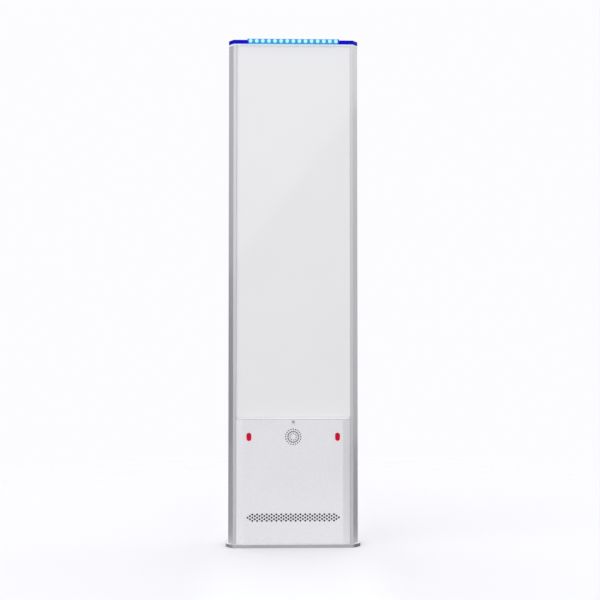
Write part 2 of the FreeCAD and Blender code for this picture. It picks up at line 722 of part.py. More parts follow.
def hinge_bracket(name, side):
    """Foot on the base plate with two eyes, one each side of the cover's lug."""
    centre = side * size.hinge_lug_x
    bottom, top = size.base_thick + GAP, hinge_z + 1.8
    pieces = []
    for i, inner in enumerate((-11, 8)):
        start = centre + inner
        width = (start, start + 3)
        pieces += [rod("%s_eye%d" % (name, i), "x", (start, hinge_y, hinge_z), knuckle, 3),
                   box("%s_arm%d" % (name, i), width, (hinge_y, -37), (hinge_z - 1.4, top)),
                   box("%s_post%d" % (name, i), width, (-41, -37), (bottom, top))]
    pieces.append(box(name + "_foot", around(centre, 11), (-39, -20), (bottom, bottom + 2.5)))
    bore = rod(name + "_bore", "x", (centre - 14, hinge_y, hinge_z), size.hinge_pin_radius + 0.03, 28)
    return cut(name, fuse(name + "_solid", pieces), [bore])


keep_group("cover_hinge_brackets", [hinge_bracket("hinge_" + label, side) for label, side in SIDES])
keep_group("cover_hinge_pins", [
    rod("hinge_pin_" + label, "x", (side * size.hinge_lug_x - 12, hinge_y, hinge_z),
        size.hinge_pin_radius, 24) for label, side in SIDES])

# captive slotted screw and its retaining ring
front = -size.cover_face_y
screw = fuse("cover_screw_blank", [
    rod("cover_screw_head", "y", (0, front - 2.2, size.lock_z), size.lock_head_radius, 2.18),
    rod("cover_screw_shank", "y", (0, front - 0.5, size.lock_z), size.lock_shank_radius, 23)])
keep(cut("cover_screw", screw, [
    box("cover_screw_slot", (-4, 4), (front - 3, front - 1.2), around(size.lock_z, 0.5))]))
keep(cut("screw_retainer", rod("retainer_disc", "y", (0, -40.9, size.lock_z), 4, 1),
         [rod("retainer_bore", "y", (0, -42, size.lock_z), size.lock_shank_radius + 0.02, 4)]))


def sensor_window(name, side):
    """Red window of a people-counting sensor, clipped into the cover."""
    lens_back, lens_depth = 2.6, 3.4
    rim_y = -(cover_y - lens_back + lens_depth)
    body = new_body(name)
    sketch = new_sketch(body, "XZ_Plane", size.cover_face_y - lens_back, "lens")
    slot(sketch, side * size.sensor_x, size.speaker_z,
         size.sensor_width - 0.1, size.sensor_height - 0.1)
    pad(body, sketch, lens_depth, False, "lens_pad")
    sketch = new_sketch(body, "XZ_Plane", size.cover_face_y - 2.55, "flange")
    slot(sketch, side * size.sensor_x, size.speaker_z, size.sensor_width + 4, size.sensor_height + 4)
    pad(body, sketch, 1.2, True, "flange_pad")
    dress(body, "Fillet", lambda edge: all(abs(vertex.Point.y - rim_y) < 1e-4
                                           for vertex in edge.Vertexes), 0.6, "rim")
    keep(body)


for label, side in SIDES:
    sensor_window(label + "_sensor_window", side)

# dust screens glued behind the grille and the vents
screen_y = front + size.cover_wall + GAP
keep_group("dust_screens", [
    rod("speaker_screen", "y", (0, screen_y, size.speaker_z), 28, 0.6),
    box("vent_screen", (-150, 150), (screen_y, screen_y + 0.6), around(size.vent_z, 14))])


# =================================================================== SERVICE BAY
def folded_plate(name, front, thick, flange_back, z_span, screws, openings):
    """Upright sheet with side flanges folded back and screwed to the uprights."""
    outer = size.flange_outer_x
    flange_depth = (front, flange_back)
    sheet_metal = fuse(name + "_bent", [
        box(name + "_sheet", around(0, outer), (front, front + thick), z_span),
        box(name + "_left", (-outer, thick - outer), flange_depth, z_span),
        box(name + "_right", (outer - thick, outer), flange_depth, z_span)])
    keep(cut(name, sheet_metal, side_holes(name, screws, outer) + openings))


chassis_front = size.chassis_front_y
chassis_back = chassis_front + size.chassis_thick
mount_y = chassis_front - SEAT  # back of everything mounted on the chassis
chassis_slot = box("chassis_slot", (20, 60), (chassis_front - 1, chassis_back + 1), (100, 122))
folded_plate("chassis_plate", chassis_front, size.chassis_thick, size.chassis_flange_y,
             (size.chassis_bottom, size.chassis_top), CHASSIS_SCREWS, [chassis_slot])

# power supply: metal box with louvre slots in its front
case = box("power_supply_box", (-168, -72), (-44, mount_y), (135, 275))
keep(cut("power_supply", case, [
    box("louvre%d" % i, (-160, -80), (-45, -43), (150 + 9 * i, 153 + 9 * i)) for i in range(12)]))

# mains terminal block: body with wire ports
block = box("terminal_body", (-62, -2), (-30, mount_y), (98, 118))
keep(cut("terminal_block", block, [
    rod("terminal_port%d" % i, "y", (-57 + 10 * i, -31, 111), 2.6, 8) for i in range(6)]))

# control board on pillars, with relays, capacitors and connectors
inset = size.board_hole_inset
BOARD_HOLES = [(x, z) for z in (size.board_bottom + inset, size.board_top - inset)
               for x in (size.board_left + inset, size.board_right - inset)]
board = box("board_sheet", (size.board_left, size.board_right),
            (size.board_front_y, size.board_back_y), (size.board_bottom, size.board_top))
keep(cut("control_board", board, [rod("board_hole%d" % i, "y", (x, -22, z), 1.6, 6)
                                  for i, (x, z) in enumerate(BOARD_HOLES)]))
pillars = [post("board_pillar%d" % i, x, z, 3, size.board_back_y + SEAT, mount_y)
           for i, (x, z) in enumerate(BOARD_HOLES)]
component_y = size.board_front_y - SEAT
components = [box("relay%d" % i, (-35 + 24 * i, -17 + 24 * i), (-36, component_y), (205, 227))
              for i in range(4)]
components += [rod("capacitor%d" % i, "y", (85 + 17 * i, -38, 222), 6.5, 17.9) for i in range(3)]
components += [box("connector%d" % i, (-40 + 32 * i, -18 + 32 * i), (-29, component_y), (140, 150))
               for i in range(6)]
keep_group("board_components", components)

# speaker: turned basket, paper cone and magnet on four posts; points are (radius, y)
basket_rear, post_circle = -48.7, 31.5
SPEAKER = [
    ("speaker_basket", [(29, -50.2), (33, -50.2), (33, basket_rear), (30, basket_rear),
                        (19, -28), (11, -28), (11, -29.2), (18, -29.2)]),
    ("speaker_cone", [(8.5, -34.5), (27.6, -49.3), (27.6, -48.5), (8.5, -33.5), (8.5, -29.3),
                      (7.5, -29.3), (7.5, -37), (0, -40), (0, -40.8), (8.5, -37.6)]),
    ("speaker_magnet", [(0, -27.95), (19, -27.95), (20, -27), (20, -17), (19, -16), (0, -16)]),
]
for name, points in SPEAKER:
    turned(name, "XY_Plane", points, 0, size.speaker_z)
for i in range(4):
    angle = math.pi / 4 + i * math.pi / 2
    pillars.append(post("speaker_post%d" % i, post_circle * math.cos(angle),
                        size.speaker_z + post_circle * math.sin(angle),
                        1.4, basket_rear + SEAT, mount_y))
keep_group("chassis_pillars", pillars)

# infrared sensor modules behind the red windows
for label, side in SIDES:
    name = label + "_sensor_module"
    x = side * size.sensor_x
    case = box(name + "_case", around(x, 11), (-44, mount_y), around(size.speaker_z, 19))
    eyes = [rod("%s_eye%d" % (name, i), "y", (x, -48.5, size.speaker_z + rise), 2.5, 6)
            for i, rise in enumerate((5, -5))]
    keep(fuse(name, [case] + eyes))

# control bracket: hat-shaped plate with the service controls
switch_x, knob_x, button_x, control_z = size.switch_x, size.knob_x, size.button_x, size.control_z
left, right, thick = size.bracket_left, size.bracket_right, size.bracket_thick
bracket_front = size.bracket_front_y
bracket_back = bracket_front + thick
height = (control_z - 17, control_z + 15)
hat = fuse("control_hat", [
    box("control_face", (left, right), (bracket_front, bracket_back), height),
    box("control_left", (left, left + thick), (bracket_front, mount_y), height),
    box("control_right", (right - thick, right), (bracket_front, mount_y), height)])
keep(cut("control_bracket", hat, [
    box("switch_cutout", around(switch_x, 6.6), (-34, -28), around(control_z, 9.6)),
    rod("knob_hole", "y", (knob_x, -34, control_z), 4.6, 6),
    rod("button_hole", "y", (button_x, -34, control_z), 3.4, 6)]))

# rocker switch: housing and rocker turning on its own trunnions
house = fuse("switch_housing", [
    box("switch_case", around(switch_x, 6.5), (-33.5, -18), around(control_z, 9.5)),
    box("switch_bezel", around(switch_x, 8), (-33.5, bracket_front - GAP), around(control_z, 11))])
keep(cut("switch_body", house, [
    box("switch_well", around(switch_x, 5), (-34, -26), around(control_z, 7.8)),
    rod("switch_trunnion_hole", "x", (switch_x - 6, size.trunnion_y, control_z), 1.05, 12)]))
ROCKER_TILT = math.radians(-8)
# rocker side view before tilting: (up, out of the housing) from the trunnion
ROCKER = [(-6.8, 3.2), (0, 1.9), (6.8, 3.2), (6.8, -0.5), (0, -4.2), (-6.8, -0.5)]
cosine, sine = math.cos(ROCKER_TILT), math.sin(ROCKER_TILT)
body = new_body("power_rocker")
sketch = new_sketch(body, "YZ_Plane", switch_x - 4.8, "side")
polygon(sketch, [(size.trunnion_y - (up * sine + out * cosine), up * cosine - out * sine + control_z)
                 for up, out in ROCKER])
pad(body, sketch, 9.6, False, "key")
sketch = new_sketch(body, "YZ_Plane", switch_x - 5.8, "trunnion")
circle(sketch, size.trunnion_y, control_z, 1.0)
pad(body, sketch, 11.6, False, "trunnion_pad")
keep(body)

# volume control: potentiometer behind the bracket, fluted knob in front
pot = fuse("volume_pot_case", [
    rod("pot_can", "y", (knob_x, bracket_back + SEAT, control_z), 8, 10),
    rod("pot_bush", "y", (knob_x, -33.5, control_z), 4.5, 4)])
keep(cut("volume_pot", pot, [rod("pot_bore", "y", (knob_x, -35, control_z), 3.05, 13)]))
body = new_body("volume_knob")
sketch = new_sketch(body, "XZ_Plane", 34.2, "skirt")
circle(sketch, 0, 0, 7.5)
pad(body, sketch, 10, False, "grip")
sketch = new_sketch(body, "XZ_Plane", 45, "flute")
circle(sketch, 7.9, 0, 0.9)
flute = pocket(body, sketch, 9.5, False, "flute_cut")
pattern(body, "PolarPattern", flute, ("Axis", "Y_Axis"), ("Angle", 360), 16)
sketch = new_sketch(body, "XZ_Plane", 45, "pointer")
rectangle(sketch, (-0.5, 0.5), (1.5, 7))
pocket(body, sketch, 1.6, False, "pointer_cut")
sketch = new_sketch(body, "XZ_Plane", 34.4, "shaft")
circle(sketch, 0, 0, 3.0)
pad(body, sketch, 11, True, "shaft_pad")
place(body, knob_x, control_z)
keep(body)

# alarm reset push button: switch case and plunger
case = fuse("reset_case_solid", [
    box("reset_case", around(button_x, 6), (bracket_back + SEAT, -19), around(control_z, 6)),
    rod("reset_bush", "y", (button_x, -31.8, control_z), 3.3, 3)])
keep(cut("reset_switch", case, [rod("reset_bore", "y", (button_x, -33, control_z), 2.55, 12)]))
keep(fuse("reset_button", [rod("reset_cap", "y", (button_x, -37.5, control_z), 4.5, 3),
                           rod("reset_stem", "y", (button_x, -35, control_z), 2.5, 11)]))

# RFID reader on the rear of the chassis plate, with cooling fins
body = new_body("reader_module")
sketch = new_sketch(body, "XZ_Plane", -(chassis_back + SEAT), "case")
rectangle(sketch, around(0, size.reader_half_width), (size.reader_bottom, size.reader_top))
pad(body, sketch, size.reader_depth, True, "case_pad")
sketch = new_sketch(body, "XZ_Plane", -(chassis_back + size.reader_depth), "fin")
rectangle(sketch, (-size.fin_x, size.fin_thick - size.fin_x),
          (size.reader_bottom + size.fin_inset, size.reader_top - size.fin_inset))
fin = pad(body, sketch, size.fin_depth, True, "fin_pad")
fin_run = (2 * size.fin_x - size.fin_thick).number
pattern(body, "LinearPattern", fin, ("Direction", "X_Axis"), ("Length", fin_run), 17)
keep(body)

# aerial leads, one for each aerial: (x, aerial's centre z)
LEADS = [(-size.lead_x, size.aerial_one_z), (driven(0), size.aerial_two_z),
         (size.lead_x, size.aerial_three_z)]
keep_group("reader_sockets", [rod("socket%d" % i, "z", (x, 6, size.reader_top + GAP), 3.4, 9)
                              for i, (x, z) in enumerate(LEADS)])

# =================================================================== AERIALS
# folded carrier sheet fixed to both uprights
lead_holes = [rod("carrier_lead_hole%d" % i, "y", (x, 4, z), 4, 6)
              for i, (x, z) in enumerate(LEADS)]
folded_plate("aerial_carrier", size.carrier_y, size.carrier_thick, size.carrier_flange_y,
             (size.carrier_bottom, size.carrier_top), CARRIER_SCREWS, lead_holes)

for name, half, y_span in (
        ("aerial_ground_plates", size.ground_half, (size.ground_front_y, size.ground_back_y)),
        ("aerial_patches", size.patch_half, (size.patch_front_y, size.patch_back_y))):
    keep_group(name, [box("%s_%d" % (name, i), around(0, half), y_span, around(z, half))
                      for i, (x, z) in enumerate(LEADS)])

spacers = []
for i, (x, z) in enumerate(LEADS):
    for k, (side, rise) in enumerate(((-1, -1), (1, -1), (1, 1), (-1, 1))):
        for label, reach, near, far in (
                ("pillar", 130, size.ground_back_y, size.carrier_y),
                ("spacer", 90, size.patch_back_y, size.ground_front_y)):
            spacers.append(post("%s%d%d" % (label, i, k), reach * side, z + reach * rise,
                                4, near + GAP, far - GAP))
keep_group("aerial_spacers", spacers)

# screws through the brackets, rails and flanges into the uprights:
# places and the inner face that their heads bear on
frame_screws = []
for places, inner_face in (
        (FOOT_SCREWS, foot_outer_x - size.foot_thick),
        (MIDDLE_SCREWS + TOP_SCREWS, size.rail_ear_x - size.rail_wall),
        (CHASSIS_SCREWS, size.flange_outer_x - size.chassis_thick),
        (CARRIER_SCREWS, size.flange_outer_x - size.carrier_thick)):
    for side in (-1, 1):
        for y, z in places:
            frame_screws.append(pan_screw(
                X_AXIS * side, (side * (inner_face.number - GAP), y, z),
                head_radius=3.5, head_height=2.2, radius=2.0, length=8.5))
keep_shape("frame_screws", Part.Compound(frame_screws))

# =================================================================== CABLES
# points are (x, y, z)
aerial_cables = []
for lead_x, aerial_z in LEADS:
    x, z = lead_x.number, aerial_z.number
    aerial_cables.append(cable([(x, 6, 309.1), (x, 6, 345), (x, 12, 380), (x, 12, z), (x, -3.9, z)],
                               radius=2.4, bend=8))
keep_shape("aerial_cables", Part.Compound(aerial_cables))

x = size.grommet_x.number
keep_shape("mains_cable", cable([(x, 0, 0.6), (x, 0, 40), (x, -18, 70), (x, -18, 97.9)],
                                radius=4.0, bend=14))
keep_shape("speaker_cable", cable([(-8, -19.2, 262.1), (-8, -19.2, 278), (-8, -12, 296),
                                   (-8, -12, 340), (-8, -15.9, 340)], radius=1.4, bend=3))

# supply from the control board to the lamp driver, then a lead to each lamp board
lamp_cables = [cable([(-46, -20.1, 235), (-46, -26, 235), (-46, -26, 365), (-60, -4, 405),
                      (-60, -4, 440), (-166, -1, 480), (-166, -1, 1500), (-130, 0, 1530),
                      (-130, 0, 1549.9)], radius=2.0, bend=12)]
for side in (-1, 1):
    lamp_cables.append(cable([(-100, side * 6, 1562.05), (-100, side * 6, 1570),
                              (-100, side * 27, 1590), (-100, side * 36.5, 1590)],
                             radius=1.2, bend=6))
keep_shape("lamp_cables", Part.Compound(lamp_cables))

# =================================================================== TOP
opening = (around(0, size.opening_half_width), around(0, size.opening_half_depth))

body = new_body("light_diffuser")
sketch = new_sketch(body, "XY_Plane", size.diffuser_low)
polygon(sketch, octagon(size.body_half_width, size.body_half_depth,
                        size.lip_outer_x, size.corner_y))
rectangle(sketch, *opening)
for x, y in CAP_SCREWS:
    circle(sketch, x, y, size.cap_screw_clearance)
pad(body, sketch, size.diffuser_high - size.diffuser_low)
keep(body)

body = new_body("top_cap")
sketch = new_sketch(body, "XY_Plane", size.cap_low)
polygon(sketch, octagon(size.cap_half_width, size.cap_half_depth,
                        size.cap_half_width - size.cap_corner_x,
                        size.cap_half_depth - size.cap_corner_y))
pad(body, sketch, size.cap_high - size.cap_low)
dress(body, "Fillet", at_height(size.cap_high), size.cap_edge_radius, "soft_edge")
sketch = new_sketch(body, "XY_Plane", size.cap_low, "recess")
rectangle(sketch, *opening)
pocket(body, sketch, size.cap_recess_depth, True, "recess_cut")
for label, side in FACES:
    sketch = new_sketch(body, "XY_Plane", size.cap_low - 1, label + "_bay")
    rectangle(sketch, around(0, size.lens_half_width + 0.2),
              mirrored(side, size.opening_half_depth - 0.1, size.cap_half_depth + 2))
    pocket(body, sketch, 20, True, label + "_bay_cut")
sketch = new_sketch(body, "XY_Plane", size.cap_low - 1, "screw_holes")
for x, y in CAP_SCREWS:
    circle(sketch, x, y, size.cap_screw_bore)
pocket(body, sketch, 8.5, True, "screw_cut")
keep(body)
keep_shape("cap_screws", Part.Compound([
    pan_screw(Z_AXIS, (x.number, y.number, (size.body_top - size.rail_wall).number - GAP),
              head_radius=3.6, head_height=2.0, radius=2.0, length=14) for x, y in CAP_SCREWS]))


def lamp_lens(name, side):
    """Hollow lens bar over a row of lamps, its outer edges rounded."""
    half, face, top, wall, radius = size.lens_half_width, size.lens_face_y, size.lens_high, 3, 1.5
    bar = box(name + "_bar", around(0, half), mirrored(side, size.opening_half_depth + 0.1, face),
              (size.cap_low + GAP, top))
    trough = box(name + "_trough", around(0, half - 2.5), mirrored(side, 30, face - wall),
                 (size.cap_low - 1, top - wall))
    hollow = cut(name + "_hollow", bar, [trough])
    doc.recompute()
    fillet = doc.addObject("Part::Fillet", name)
    fillet.Base = hollow
    # on the outer face: the top edge and the upright ends
    edges = []
    for i, edge in enumerate(hollow.Shape.Edges, 1):
        ends = [vertex.Point for vertex in edge.Vertexes]
        if len(ends) == 2 and all(abs(end.y - side * face.number) < 1e-4 for end in ends) and (
                all(abs(end.z - top.number) < 1e-4 for end in ends)
                or abs(ends[0].z - ends[1].z) > 5):
            edges.append((i, radius, radius))
    fillet.Edges = edges
    keep(fillet)


boards, lamps = [], []
lamp_count = int(size.lamp_count.number)
for label, side in FACES:
    lamp_lens(label + "_lamp_lens", side)
    boards.append(box(label + "_lamp_board", (-141, 141),
                      mirrored(side, size.lamp_board_y, size.lamp_face_y),
                      (size.cap_low + GAP, 1596)))
    for i in range(lamp_count):
        x = (i - (lamp_count - 1) / 2) * size.lamp_pitch
        lamps.append(box("%s_lamp%d" % (label, i), around(x, 2.5),
                         mirrored(side, size.lamp_face_y + GAP, 40.0), (1588, 1593)))
keep_group("lamp_boards", boards)
keep_group("lamps", lamps)

# lamp driver inside the top rail
keep(box("lamp_driver", (-150, -76), (-12, 12), (1550, 1562)))

# =================================================================== EXPORT
doc.recompute()
bad = ["%s %s" % (item.Name, item.State) for item in doc.Objects
       if "Invalid" in item.State or "Error" in item.State]
if len({node.Label for node in NODES}) != len(NODES):
    bad.append("labels repeat")
for node in NODES:
    shape = node.Shape
    if shape.isNull() or not shape.isValid() or not shape.Solids or shape.Volume <= 0:
        bad.append("%s has no valid solid" % node.Label)
if bad:
    raise RuntimeError("; ".join(bad))
for node in NODES:
    node.Shape.exportStep("parts/%s.step" % node.Label)
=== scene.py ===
"""Looks and studio for a floor-standing frame: two uprights on a base plate, a
row of lamps at the top, and a lower cabinet of electronics between white covers.

Z is up and the base stands on z = 0. X runs across the width, and the front
faces -Y. Shaders and the stage are in metres; added pieces are in millimetres.
"""
import json
import math
import random

import bmesh
import bpy
from mathutils import Matrix, Vector


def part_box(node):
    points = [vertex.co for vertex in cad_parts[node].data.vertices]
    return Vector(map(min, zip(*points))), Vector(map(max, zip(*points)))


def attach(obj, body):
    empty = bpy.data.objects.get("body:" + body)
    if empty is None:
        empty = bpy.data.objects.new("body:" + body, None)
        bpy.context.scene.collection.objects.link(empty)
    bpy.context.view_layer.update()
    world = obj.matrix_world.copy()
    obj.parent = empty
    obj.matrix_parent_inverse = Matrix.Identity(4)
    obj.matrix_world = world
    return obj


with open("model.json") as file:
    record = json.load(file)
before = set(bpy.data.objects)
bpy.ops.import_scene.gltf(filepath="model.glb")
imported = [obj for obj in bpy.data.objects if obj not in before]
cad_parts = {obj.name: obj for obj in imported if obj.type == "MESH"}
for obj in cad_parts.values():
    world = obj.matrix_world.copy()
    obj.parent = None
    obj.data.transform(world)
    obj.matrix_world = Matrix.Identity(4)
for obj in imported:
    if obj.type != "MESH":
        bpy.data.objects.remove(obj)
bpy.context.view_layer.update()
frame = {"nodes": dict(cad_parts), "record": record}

random.seed(7)
scene = bpy.context.scene
scene.view_settings.view_transform = "Standard"
scene.view_settings.look = "None"
scene.view_settings.exposure = 0.0
scene.view_settings.gamma = 1.0

LAMP_PITCH = 19.3  # mm between lamps, shared by the lens shader and the domes
LAMP_COUNT = 15


# ------------------------------------------------------------ node helpers
def srgb(*channels):
    """sRGB bytes to a linear colour."""
    def linear(byte):
        c = byte / 255.0
        return c / 12.92 if c <= 0.04045 else ((c + 0.055) / 1.055) ** 2.4
    return tuple(linear(c) for c in channels) + (1.0,)


class Tree:
    """Short ways to add and link shader nodes."""

    def __init__(self, owner):
        owner.use_nodes = True
        self.nodes = owner.node_tree.nodes
        self.links = owner.node_tree.links
        self.nodes.clear()

    def new(self, kind, **settings):
        node = self.nodes.new(kind)
        for key, value in settings.items():
            setattr(node, key, value)
        return node

    def put(self, socket, value):
        """Link a socket, or set a plain value."""
        if isinstance(value, bpy.types.NodeSocket):
            self.links.new(value, socket)
        else:
            socket.default_value = value

    def calc(self, operation, *values):
        node = self.new("ShaderNodeMath", operation=operation)
        for socket, value in zip(node.inputs, values):
            self.put(socket, value)
        return node.outputs[0]

    def plus(self, a, b):
        return self.calc("ADD", a, b)

    def minus(self, a, b):
        return self.calc("SUBTRACT", a, b)

    def times(self, product, *factors):
        for factor in factors:
            product = self.calc("MULTIPLY", product, factor)
        return product

    def size(self, value):
        return self.calc("ABSOLUTE", value)

    def mix(self, factor, low, high):
        """Colour low where the factor is 0, high where it is 1."""
        node = self.new("ShaderNodeMix", data_type="RGBA", blend_type="MIX")
        self.put(node.inputs[0], factor)
        self.put(node.inputs[6], low)
        self.put(node.inputs[7], high)
        return node.outputs[2]

    def mix_shaders(self, factor, low, high):
        node = self.new("ShaderNodeMixShader")
        for socket, value in zip(node.inputs, (factor, low, high)):
            self.put(socket, value)
        return node.outputs[0]

    def coords(self, scale=(1, 1, 1), rotation=(0, 0, 0)):
        mapping = self.new("ShaderNodeMapping")
        mapping.inputs["Scale"].default_value = scale
        mapping.inputs["Rotation"].default_value = rotation
        self.put(mapping.inputs[0], self.new("ShaderNodeTexCoord").outputs["Object"])
        return mapping.outputs[0]

    def split(self, vector):
        node = self.new("ShaderNodeSeparateXYZ")
        self.put(node.inputs[0], vector)
        return node.outputs[:3]

    def xyz(self, kind="Object"):
        return self.split(self.new("ShaderNodeTexCoord").outputs[kind])

    def noise(self, pos, scale, detail=3.0, rough=0.5):
        node = self.new("ShaderNodeTexNoise")
        self.put(node.inputs["Vector"], pos)
        node.inputs["Scale"].default_value = scale
        node.inputs["Detail"].default_value = detail
        node.inputs["Roughness"].default_value = rough
        return node.outputs[0]

    def voronoi(self, pos, scale):
        node = self.new("ShaderNodeTexVoronoi", feature="F1")
        self.put(node.inputs["Vector"], pos)
        node.inputs["Scale"].default_value = scale
        return node.outputs["Distance"]

    def remap(self, value, span, to=(0.0, 1.0)):
        """Ease a value across span (which may run downwards) into the range to."""
        node = self.new("ShaderNodeMapRange", interpolation_type="SMOOTHSTEP")
        for socket, number in zip(node.inputs, (value, *span, *to)):
            self.put(socket, number)
        return node.outputs[0]

    def clouds(self, pos, scale, to=(0.0, 1.0), detail=3.0, rough=0.5):
        """Noise with its middle stretched over a range."""
        return self.remap(self.noise(pos, scale, detail, rough), span=(0.3, 0.7), to=to)

    def tint(self, color, spread, scale):
        """A colour with a faint cloudy variation."""
        factor = self.clouds(self.coords(), scale, detail=4.0, rough=0.55)
        dark = tuple(max(c * (1 - spread), 0) for c in color) + (1,)
        light = tuple(min(c * (1 + spread), 1) for c in color) + (1,)
        return self.mix(factor, dark, light)

    def bump(self, height, strength, distance, normal=None):
        node = self.new("ShaderNodeBump")
        node.inputs["Strength"].default_value = strength
        node.inputs["Distance"].default_value = distance
        self.put(node.inputs["Height"], height)
        if normal is not None:
            self.put(node.inputs["Normal"], normal)
        return node.outputs[0]

    def round_edges(self, radius, samples=4):
        node = self.new("ShaderNodeBevel", samples=samples)
        node.inputs["Radius"].default_value = radius
        return node.outputs[0]


# ------------------------------------------------------------ materials
# Each takes the tree and surface(), which fills the inputs of the main shader.
def panel_white(tree, surface):
    pos = tree.coords()
    normal = tree.bump(tree.noise(pos, scale=40.0, detail=2.0, rough=0.4),
                       strength=0.004, distance=0.0004,
                       normal=tree.round_edges(radius=0.0004, samples=2))
    normal = tree.bump(tree.noise(pos, scale=900.0, detail=2.0),
                       strength=0.003, distance=0.00005, normal=normal)
    surface(Base_Color=tree.tint((0.908, 0.908, 0.918), spread=0.008, scale=3.0),
            Roughness=tree.clouds(pos, scale=40.0, to=(0.018, 0.03)),
            IOR=1.52, Normal=normal)


def cover_white(tree, surface):
    pos = tree.coords()
    normal = tree.bump(tree.noise(pos, scale=900.0, rough=0.6), strength=0.035,
                       distance=0.0001, normal=tree.round_edges(radius=0.0011, samples=6))
    # scuffs near the floor
    scuff = tree.times(
        tree.remap(tree.xyz()[2], span=(0.02, 0.06), to=(1.0, 0.0)),
        tree.remap(tree.noise(pos, scale=55.0, detail=5.0, rough=0.7),
                   span=(0.55, 0.75), to=(0.0, 0.35)))
    clean = tree.tint((0.855, 0.852, 0.881), spread=0.012, scale=6.0)
    surface(Base_Color=tree.mix(scuff, low=clean, high=(0.5, 0.5, 0.51, 1)),
            Roughness=tree.clouds(pos, scale=300.0, to=(0.22, 0.3)), IOR=1.5, Normal=normal)


def upright_aluminium(tree, surface):
    # grain drawn out along the height
    fine = tree.noise(tree.coords(scale=(900, 900, 6)), scale=1.0, rough=0.6)
    broad = tree.coords(scale=(60, 60, 1.2))
    color = tree.mix(tree.remap(fine, span=(0.3, 0.7)),
                     low=(0.56, 0.56, 0.59, 1), high=(0.64, 0.64, 0.67, 1))
    color = tree.mix(tree.clouds(broad, scale=1.0, detail=2.0, to=(0.0, 0.25)),
                     low=color, high=(0.68, 0.68, 0.71, 1))
    surface(Base_Color=color, Metallic=0.55, IOR=1.6,
            Roughness=tree.remap(fine, span=(0.2, 0.8), to=(0.30, 0.42)),
            Coat_Weight=0.9, Coat_IOR=1.7, Coat_Roughness=0.06,
            Normal=tree.bump(fine, strength=0.12, distance=0.00006,
                             normal=tree.round_edges(radius=0.0008)))


def base_grey(tree, surface):
    pos = tree.coords()
    normal = tree.bump(tree.voronoi(pos, scale=900.0), strength=0.18, distance=0.0001,
                       normal=tree.round_edges(radius=0.0008))
    x, y, z = tree.xyz()
    width = tree.size(x)
    # painted shade: the plate is darker low down at both ends, most of all at the +X end
    painted_end_shade = tree.times(tree.remap(width, span=(0.184, 0.194)),
                      tree.remap(z, span=(0.0085, 0.0098), to=(1.0, 0.0)))
    dark = tree.mix(tree.remap(x, span=(-0.1, 0.1)),
                    low=(0.23, 0.23, 0.24, 1), high=(0.16, 0.16, 0.17, 1))
    color = tree.mix(painted_end_shade, low=tree.tint((0.44, 0.44, 0.447), spread=0.03, scale=12.0),
                     high=dark)
    wear = tree.remap(tree.noise(pos, scale=70.0, detail=6.0, rough=0.75),
                      span=(0.62, 0.78), to=(0.0, 0.5))
    color = tree.mix(wear, low=color, high=(0.36, 0.36, 0.37, 1))
    # painted light: the top face, which faces the light, is paler than the edges of the
    # plate, palest out at both ends
    facing = tree.split(tree.new("ShaderNodeNewGeometry").outputs["True Normal"])
    top = tree.mix(tree.remap(tree.size(x), span=(0.192, 0.206)),
                   low=tree.tint((0.55, 0.55, 0.557), spread=0.02, scale=15.0),
                   high=(0.84, 0.84, 0.85, 1))
    color = tree.mix(tree.remap(facing[2], span=(0.8, 0.95)), low=color, high=top)
    surface(Base_Color=color, Roughness=tree.clouds(pos, scale=240.0, to=(0.38, 0.52)),
            IOR=1.5, Normal=normal)


def zinc_steel(tree, surface):
    spangle = tree.voronoi(tree.coords(), scale=110.0)
    fine = tree.noise(tree.coords(scale=(700, 700, 30)), scale=1.0)
    color = tree.mix(tree.remap(spangle, span=(0.1, 0.7)),
                     low=(0.50, 0.51, 0.53, 1), high=(0.64, 0.65, 0.67, 1))
    surface(Base_Color=color, Metallic=0.85,
            Roughness=tree.remap(fine, span=(0.3, 0.7), to=(0.34, 0.5)),
            Normal=tree.bump(fine, strength=0.1, distance=0.00008,
                             normal=tree.round_edges(radius=0.0005, samples=2)))


def screw_steel(tree, surface):
    pos = tree.coords()
    x, y, z = tree.xyz()
    screw_z = 0.391
    beside, outside = (0.005, 0.006), (1.0, 0.0)
    color = tree.tint((0.58, 0.58, 0.60), spread=0.08, scale=300.0)
    # the slotted screw in the service cover, with painted shade in its slot and round the
    # side of its head
    near = tree.times(
        tree.remap(tree.size(x), span=beside, to=outside),
        tree.remap(tree.size(tree.minus(z, screw_z)), span=beside, to=outside),
        tree.remap(y, span=(-0.0540, -0.0548)))
    color = tree.mix(near, low=color, high=(0.57, 0.57, 0.59, 1))
    slot = tree.times(near, tree.remap(y, span=(-0.05712, -0.05660)))
    color = tree.mix(slot, low=color, high=(0.12, 0.12, 0.13, 1))
    surface(Base_Color=color, Metallic=0.9,
            Roughness=tree.clouds(pos, scale=700.0, to=(0.22, 0.36)),
            Normal=tree.bump(tree.noise(pos, scale=1500.0), strength=0.1, distance=0.00004,
                             normal=tree.round_edges(radius=0.0003, samples=2)))


def window_red(tree, surface):
    # Brighter red low down, darker higher up. The faint emission is painted glow on the red
    # sensor windows, which are no lamps; on the board's red status lamps it stands for their
    # own light.
    color = tree.mix(tree.remap(tree.xyz()[2], span=(0.336, 0.358)),
                     low=srgb(214, 4, 44), high=srgb(170, 24, 52))
    surface(Base_Color=color, Roughness=0.08, IOR=1.5, Specular_IOR_Level=0.04,
            Coat_Weight=0.0, Emission_Color=color, Emission_Strength=0.2,
            Normal=tree.bump(tree.noise(tree.coords(), scale=500.0),
                             strength=0.04, distance=0.00008))


